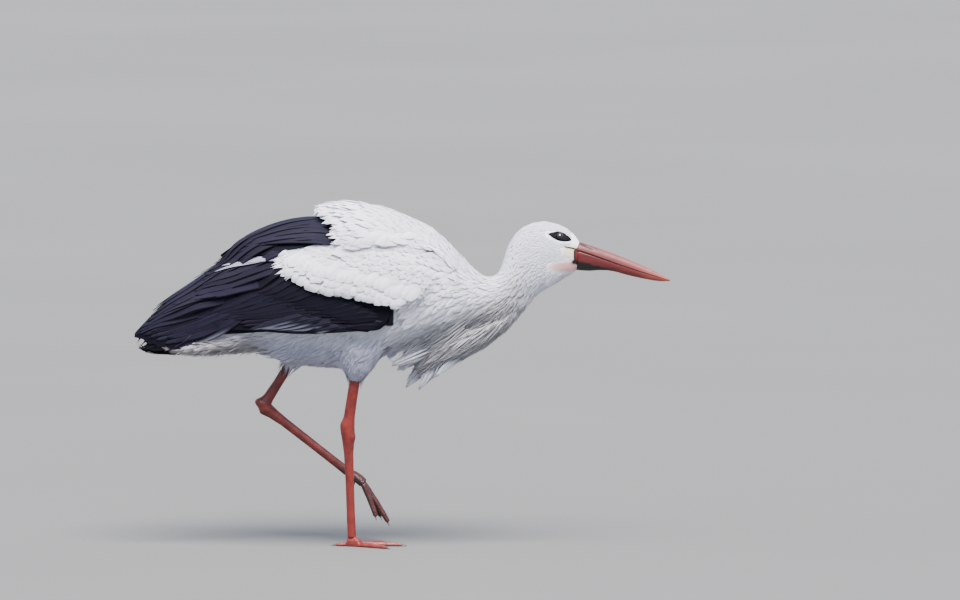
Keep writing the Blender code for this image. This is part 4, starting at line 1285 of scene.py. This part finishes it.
def make_wing(label, side):
    """The black of one closed wing: its core, its fans of flight feathers and the tail tip."""
    make_wing_core(label)
    share = np.linspace(0, 1, FLIGHT_STATIONS)
    trees = (tree_of([f"{part}_{label}" for part in WING_PARTS]), WHOLE.tree)
    for i, (name, count, *corners, halves, bow, layer, high_rise, tone, pale) in enumerate(FANS):
        rng = np.random.default_rng(100 + i * 10 + (side > 0))
        low_root, low_tip, high_root, high_tip = (
            np.array((x, angle_of(trees, x, z, side))) for x, z in corners
        )
        paths, normals = [], []
        for t in np.linspace(0, 1, count):
            stray = rng.normal(0, 1, 4)
            root = blend(low_root, high_root, t) + (0.002, 0.012) * stray[:2]
            tip = blend(low_tip, high_tip, t) + (0.003, 0.012) * stray[2:]
            path, normal = wing_feather(trees, root, tip, bow, side)
            height = blend(-ROOT_DEPTH, layer, ease(0.0, 0.25, share))
            height = height + blend(LOWEST_RISE, high_rise, t**3) * share**4
            paths.append(path + normal * height[:, None])
            normals.append(normal)
        silver = np.zeros(count)
        silver[list(pale)] = 0.8
        across = FLIGHT_RING[None, :, 0]
        ends = 1 - 0.05 * across**2 - 0.02 * rng.random((count, len(FLIGHT_RING)))
        paint = black_paint(count, rng, silver, side, tone)
        if name == "pale_streak":  # the one fan that isn't black
            paint = plain_paint(STREAK, count, rng)
        coat_piece(f"{name}_{label}", BLACK_COAT, np.array(paths), np.array(normals),
                   np.linspace(*halves, count), paint, FLIGHT_RING, leaf(0.30, 0.6, 0.5), 0.0006,
                   0.10, 0.09 * side, ends)
    rng = np.random.default_rng(500 + side)
    tips = [tip_place(x, z, side) for x, z in along(TAIL_TIP, 22)]
    row_piece(f"tail_tip_{label}", tips, 186, 0.050, 0.0036, 0.1, rng, 0.0016, black=NEAR_BLACK * 0.8)


def make_wing_core(label):
    """The closed body of black feathers under the ones that show, in place of the wing's nodes."""
    nodes = [f"{part}_{label}" for part in WING_PARTS]
    points, faces = gather(nodes)
    mesh = bpy.data.meshes.new(f"wing_core_{label}")
    mesh.from_pydata(points.tolist(), [], faces.tolist())
    mesh.shade_smooth()
    move_points(mesh, points - read(mesh.vertices, "normal") * CORE_DEPTH)
    set_colours(mesh, np.tile(NEAR_BLACK, (len(points), 1)))
    mesh.uv_layers.new(name="Vane")
    unwrap(add_piece(f"wing_core_{label}", mesh, *BLACK_COAT, nodes))


# ---------------------------------------------------------------- bill

BILL_STATIONS = 180
BILL_SIDES = 26
NOSTRIL = ((0.3215, 0.5470), (0.3425, 0.5380))  # ends of the slit: x, z
GULAR_EDGE = ((0.3150, 0.5172), (0.3750, 0.5010))  # top edge of the black patch: x, z


def slope_on(ends, x):
    """Height at x of the straight line through two (x, z) ends."""
    (x0, z0), (x1, z1) = ends
    return blend(z0, z1, (x - x0) / (x1 - x0))


def bill_profile(tree, x, up):
    """Reach, mouth height and half width of one half of the bill at x."""
    above = hit_from(tree, (x, 0, 0.7), (0, 0, -1), 1.0).z
    below = hit_from(tree, (x, 0, 0.3), (0, 0, 1), 1.0).z
    mouth = below if up else above
    reach = above + below - 2 * mouth
    side = hit_from(tree, (x, -0.1, mouth + reach * 0.02), (0, 1, 0), 0.2)
    return reach, mouth, abs(side.y)


def make_bill(label, up, look):
    """One half of the bill, smoothly rounded, with its root tucked into the face."""
    tree = tree_of([f"bill_{label}"])
    low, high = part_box(f"bill_{label}")
    xs = np.linspace(low.x + 0.0001, high.x - 0.0002, BILL_STATIONS)
    reach, mouth, half = smooth_rows(np.array([bill_profile(tree, x, up) for x in xs]), 12).T
    bulge = np.sin(np.linspace(0, math.pi, BILL_SIDES))
    swing = np.cos(np.linspace(0, math.pi, BILL_SIDES))
    lip = 0.0003 * np.exp(-((bulge / 0.12) ** 2)) * (1 if up else 0.3)
    points = []
    for x, r, m, h in zip(xs, reach, mouth, half):
        ys = np.concatenate(((h + lip) * swing, np.linspace(-0.7, 0.7, 4) * h))
        zs = np.concatenate((m + r * bulge ** (0.92 if up else 1.0), np.full(4, m + r * 0.06)))
        points.append(np.stack((np.full_like(ys, x), ys, zs), axis=1))
    centre = points[0].mean(axis=0)
    tucked = (points[0] - centre) * (1.0, 0.92, 0.92) + centre - (0.012, 0, 0)
    points = np.array([tucked, *points])
    if up:
        carve_nostril(points)
    stations, columns, _ = points.shape
    points = points.reshape(-1, 3)
    mesh = make_mesh(f"bill_{label}", points, vane_faces(1, stations, columns)[:, :: 1 if up else -1])
    mouth = np.repeat(np.concatenate((mouth[:1], mouth)), columns)
    set_colours(mesh, bill_colours(points, mouth, up))
    unwrap(add_piece(f"bill_{label}_horn", mesh, look, "bill_horn", [f"bill_{label}"]))


def carve_nostril(points):
    """Press the narrow nostril slits into both sides of the upper bill."""
    (x0, _), (x1, _) = NOSTRIL
    x, y, z = points[..., 0], points[..., 1], points[..., 2]
    off = np.hypot((z - slope_on(NOSTRIL, np.clip(x, x0, x1))) / 0.0011, np.minimum(x - x0, 0) / 0.002)
    off = np.hypot(off, np.maximum(x - x1, 0) / 0.002)
    points[..., 1] -= np.sign(y) * 0.0016 * np.exp(-(off**2))


def bill_colours(points, mouth, up):
    x, z = points[:, 0], points[:, 2]
    colours = blend(BILL_ROOT, BILL_MIDDLE, ease(0.32, 0.40, x)[:, None])
    colours = tint(colours, BILL_TIP, ease(0.40, 0.48, x))
    if up:
        # Painted highlight: the upper bill's top is lighter, from a little ahead of its root.
        colours = tint(colours, CULMEN_HIGHLIGHT, 0.6 * ease(0.008, 0.014, z - mouth) * ease(0.33, 0.36, x))
        (x0, _), (x1, _) = NOSTRIL
        # Painted shade: the nostril slit near black.
        slit = ease(0.0014, 0.0005, np.abs(z - slope_on(NOSTRIL, x)))
        slit = slit * ease(x0 - 0.002, x0, x) * ease(x1 + 0.002, x1, x)
        colours = tint(colours, NOSTRIL_SHADE, slit)
    else:
        edge = slope_on(GULAR_EDGE, x)
        patch = ease(edge + 0.0004, edge - 0.0008, z) * ease(0.379, 0.371, x)
        colours = tint(colours, GULAR, patch)
    return tint(colours, MOUTH_DARK, 0.7 * ease(0.0012, 0.0002, np.abs(z - mouth)))


# ---------------------------------------------------------------- eyes

PUPIL = 0.30  # angles from the eye's axis, in radians
IRIS = 0.62
CORNEA = 0.55
PATCH_TILT = -0.28  # the bare skin's slope from level, in radians
PATCH_LENGTH = 0.0230  # half the length of the bare skin round the eye
PATCH_TOP = 0.0092
PATCH_BOTTOM = 0.0064
LIDS = (0.0062, 0.0050)  # half extents of the opening between the lids
LID_RIM = 0.0009


def make_eye(label, side, look):
    low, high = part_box(f"eye_{label}")
    radius = (high.x - low.x) / 2
    rings, sides = 40, 48
    points, colours = [], []
    for angle in np.linspace(0.001, math.pi - 0.001, rings):
        r = radius * (1 + 0.07 * math.exp(-((angle / CORNEA) ** 2)))
        for turn in np.linspace(0, 2 * math.pi, sides, endpoint=False):
            flat = math.sin(angle) * r
            out = Vector((flat * math.cos(turn), side * math.cos(angle) * r, flat * math.sin(turn)))
            points.append(EYES[label] + out)
            colours.append(eye_colour(angle, turn))
    mesh = make_mesh(f"eye_{label}", np.array(points), vane_faces(1, rings, sides)[:, ::side])
    set_colours(mesh, np.array(colours))
    unwrap(add_piece(f"eyeball_{label}", mesh, look, "eye_dark", [f"eye_{label}"]))


def eye_colour(angle, turn):
    if angle < PUPIL:
        return (0.003, 0.003, 0.003)
    if angle < IRIS:
        ray = 0.8 + 0.2 * math.sin(turn * 37)
        return (0.014 * ray, 0.008 * ray, 0.005 * ray)
    return (0.006, 0.005, 0.005)


def almond(angle):
    """Half extents of the bare skin round the eye at an angle, pointed at both ends."""
    cos, sin = math.cos(angle), math.sin(angle)
    rise = PATCH_TOP if sin > 0 else PATCH_BOTTOM
    slim = 1.7 if cos > 0 else 2.5
    return PATCH_LENGTH * cos, rise * math.copysign(abs(sin) ** slim, sin)


def make_eye_skin(label, side, look):
    """A thin closed patch of bare black skin round the eye, with the lids' rims."""
    rows, sides = 14, 64
    centre = EYES[label]
    cos, sin = math.cos(PATCH_TILT), math.sin(PATCH_TILT)
    shares = np.linspace(0, 1, rows)
    points = []
    for share, on_top in [*((s, True) for s in shares), *((s, False) for s in shares[::-1])]:
        for angle in np.arange(sides) * 2 * math.pi / sides:
            outer = almond(angle)
            u = blend(LIDS[0] * math.cos(angle), outer[0], share)
            v = blend(LIDS[1] * math.sin(angle), outer[1], share)
            x = centre.x + u * cos - v * sin
            z = centre.z + u * sin + v * cos
            y = abs(hit_from(WHOLE.tree, (x, side * 0.1, z), (0, -side, 0), 0.1).y)
            rim = LID_RIM * math.exp(-((share / 0.16) ** 2))
            y += 0.0006 + rim - 0.0010 * share**4 if on_top else -0.0012
            points.append((x, side * y, z))
    mesh = make_mesh(f"eye_skin_{label}", np.array(points), hoop_faces(rows * 2, sides)[:, ::side])
    set_colours(mesh, np.tile(EYE_SKIN, (len(points), 1)))
    unwrap(add_piece(f"eye_skin_{label}", mesh, look, "eye_dark"))


# ---------------------------------------------------------------- face

FACE_REAR = 0.258  # the fine skin of the face reaches from here to the bill
FACE_PITCH = 0.0006
FACE_SIDES = 150
FACE_AXIS = 0.527  # height of the line that the face is turned about
GAPE = ((0.2885, 0.5435), (0.3210, 0.5352))  # the dark line behind the mouth: x, z


def make_face():
    """Fine skin over the front of the head: bare cheek, chin, gape and the bill's root."""
    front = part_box("bill_upper")[0].x + 0.0006
    stations = round((front - FACE_REAR) / FACE_PITCH)
    outer, inner = [], []
    for x in np.linspace(FACE_REAR, front, stations):
        axis = Vector((x, 0, FACE_AXIS))
        for turn in np.linspace(0, 2 * math.pi, FACE_SIDES, endpoint=False):
            outward = Vector((0, math.sin(turn), math.cos(turn)))
            hit, _, _, reach = WHOLE.tree.ray_cast(axis + outward * 0.06, -outward, 0.06)
            radius = 0.06 - reach if hit else 0.012
            bare = max(*bare_face(x, axis.z + outward.z * radius), ease(0.302, 0.306, x))
            outer.append(axis + outward * (radius - blend(0.0010, 0.0001, bare)))
            inner.append(axis + outward * (radius - 0.0022))
    shape = (stations, FACE_SIDES, 3)
    outer, inner = np.array(outer).reshape(shape), np.array(inner).reshape(shape)
    points = np.concatenate((outer, inner[::-1])).reshape(-1, 3)
    mesh = make_mesh("face_skin", points, hoop_faces(stations * 2, FACE_SIDES)[:, ::-1])
    set_colours(mesh, face_colours(points))
    unwrap(add_piece("face_skin", mesh, face_material(), "plumage_white"))


def face_colours(points):
    """Cream cheek, pink chin, dark gape and rictus, and the bill's own colours ahead of it."""
    x, z = points[:, 0], points[:, 2]
    wobble = 0.0012 * np.sin(x * 2100 + 3 * np.sin(z * 900)) * np.sin(z * 2300 + 2 * np.sin(x * 800))
    cheek, chin = bare_face(x + wobble, z + wobble)
    colours = tint(coat_colours(points), CHIN, 0.85 * chin)
    colours = tint(colours, CHEEK, 0.90 * cheek)
    border = bill_border(z)
    edge = GULAR_EDGE[0][1]
    bill = blend(GULAR, BILL_ROOT, ease(edge - 0.0004, edge + 0.0006, z)[:, None])
    colours = tint(colours, bill, ease(-0.0004, 0.0006, x - border))
    rictus = np.exp(-(((x - border + 0.0004) / 0.0015) ** 2)) * ease(0.5395, 0.5360, z)
    rictus = rictus * ease(0.506, 0.513, z)
    corner = np.exp(-(((x - 0.3095) / 0.0050) ** 2) - ((z - 0.5150) / 0.0045) ** 2)
    rictus = np.clip(np.maximum(1.3 * rictus, 1.5 * corner), 0, 1)
    (x0, _), (x1, _) = GAPE
    line = slope_on(GAPE, x) + 0.0008 * np.sin((x - x0) / (x1 - x0) * math.pi)
    gape = np.exp(-(((z - line) / 0.0017) ** 2)) * ease(x0 - 0.001, x0 + 0.006, x)
    return tint(colours, GAPE_SKIN, np.clip(np.maximum(rictus, 1.4 * gape), 0, 1))


# ---------------------------------------------------------------- legs

SCALE = 0.0030  # spacing of the small scales
SCALE_RISE = 0.00045
SCALE_GROOVE = 0.0012  # width of the grooves between them

# Knobs of the ankle joints: x, z, radius, height.
KNOBS = {
    "right": ((-0.0870, 0.2000, 0.008, 0.0020), (-0.1100, 0.2200, 0.008, 0.0012)),
    "left": ((-0.2620, 0.2560, 0.009, 0.0040), (-0.2450, 0.2440, 0.010, 0.0012)),
}


def fullness(points, label):
    """How far the leg's skin stands off its solids: flesh, knobs and the raised foot's pads."""
    x, z = points[:, 0], points[:, 2]
    full = 0.0007 * ease(0.02, 0.06, z)
    if label == "left":
        full = full + 0.0011 * ease(0.125, 0.110, z)
    for at_x, at_z, radius, height in KNOBS[label]:
        full = full + height * np.exp(-(((x - at_x) ** 2 + (z - at_z) ** 2) / radius**2))
    return full


def scale_centres(points, rng):
    """Evenly spread centres for the small scales, closer together on the standing foot."""
    grid, centres = {}, []
    for i in rng.permutation(len(points)):
        spacing = SCALE * (0.75 if points[i][2] < 0.03 else 1.0)
        if claim(grid, SCALE, points[i], spacing):
            centres.append(points[i])
    return centres


def make_leg(label, side, look):
    """One bare leg with its toes: scaled skin over their nodes."""
    nodes = [f"{part}_{label}" for part in ("tibia", "hock", "tarsus", "palm")]
    nodes += [f"toe_{toe}_{label}" for toe in TOES]
    mesh = remeshed(f"leg_{label}", nodes, LEG_VOXEL, 10)
    surface = Surface(mesh)
    finder = finder_of(scale_centres(surface.points, np.random.default_rng(7 + side)))
    nearest = [finder.find_n(point, 2) for point in surface.points]
    border = np.array([second[2] - first[2] for first, second in nearest])
    crown = ease(0.0, SCALE_GROOVE, border)
    rise = SCALE_RISE * (crown - 0.6) + fullness(surface.points, label)
    moved = surface.points + surface.normals * rise[:, None]
    moved[:, 2] = np.maximum(moved[:, 2], 0.0)
    move_points(mesh, moved)
    set_colours(mesh, leg_colours(moved, surface.normals, crown, label))
    unwrap(add_piece(f"leg_skin_{label}", mesh, look, "leg_skin", nodes))


def leg_colours(points, normals, crown, label):
    colours = blend(LEG_DEEP, LEG_RED, blend(0.45, 1.0, crown)[:, None])
    z = points[:, 2]
    if label == "left":
        foot = ease(0.150, 0.115, z)
        # Painted shadow: the raised foot's faces turned back and down go near black.
        sole = ease(0.1, -0.5, normals[:, 0] * 0.8 + normals[:, 2] * 0.5) * foot
        # Painted shade: the raised far leg is darker all over, darkest on its foot.
        colours = colours * blend(0.75, 0.26, foot)[:, None]
    else:
        sole = ease(-0.3, -0.8, normals[:, 2]) * ease(0.02, 0.005, z)
    return tint(colours, SOLE, sole)


def dress_claws():
    look = claw_material()
    for label, _ in SIDES:
        for toe in TOES:
            node = NODES[f"claw_{toe}_{label}"]
            node.data.materials.clear()
            node.data.materials.append(look)
            rounder = node.modifiers.new("rounder", "SUBSURF")
            rounder.levels = 2
            rounder.render_levels = 2


# ---------------------------------------------------------------- studio

FLOOR = 120.0  # half its width
AIM = Vector((0.140, 0.0, 0.445))
DISTANCE = 19.2
ELEVATION = math.radians(5)
SUN_FROM = Vector((0.10, -0.50, 1.0))


def make_studio():
    """A plain pale floor, pale sky light, one wide soft sun and the camera."""
    mesh = bpy.data.meshes.new("floor")
    corners = [(FLOOR * x, FLOOR * y, 0) for x, y in ((-1, -1), (1, -1), (1, 1), (-1, 1))]
    mesh.from_pydata(corners, [], [(0, 1, 2, 3)])
    mesh.materials.append(floor_material())
    add_object("floor", mesh)

    world = bpy.data.worlds.new("studio")
    world.use_nodes = True
    sky = world.node_tree.nodes["Background"].inputs
    sky["Color"].default_value = (0.66, 0.77, 1.0, 1.0)
    sky["Strength"].default_value = 1.5
    bpy.context.scene.world = world

    light = bpy.data.lights.new("key", "SUN")
    light.energy = 14.0
    light.angle = math.radians(38)
    light.color = (1.0, 0.96, 0.92)
    lamp = add_object("key", light)
    lamp.rotation_mode = "QUATERNION"
    lamp.rotation_quaternion = SUN_FROM.to_track_quat("Z", "Y")

    lens = bpy.data.cameras.new("camera")
    lens.lens = 400
    lens.sensor_width = 36
    lens.clip_end = 500
    camera = add_object("camera", lens)
    back = Vector((0, -math.cos(ELEVATION), math.sin(ELEVATION)))
    camera.location = AIM + back * DISTANCE
    camera.rotation_mode = "QUATERNION"
    camera.rotation_quaternion = (-back).to_track_quat("-Z", "Y")
    bpy.context.scene.camera = camera


# ---------------------------------------------------------------- the whole bird


def main():
    make_coat()
    eye_look = wet_material("eye_look", 0.15, 0.6, 0.3)
    lid_look = wet_material("lid_look", 0.6, 0.0, 0.06)
    leg_look = leg_material()
    for label, side in SIDES:
        make_wing(label, side)
        make_eye(label, side, eye_look)
        make_eye_skin(label, side, lid_look)
        make_leg(label, side, leg_look)
    make_face()
    bill_look = bill_material()
    make_bill("upper", True, bill_look)
    make_bill("lower", False, bill_look)
    dress_claws()
    make_studio()


main()
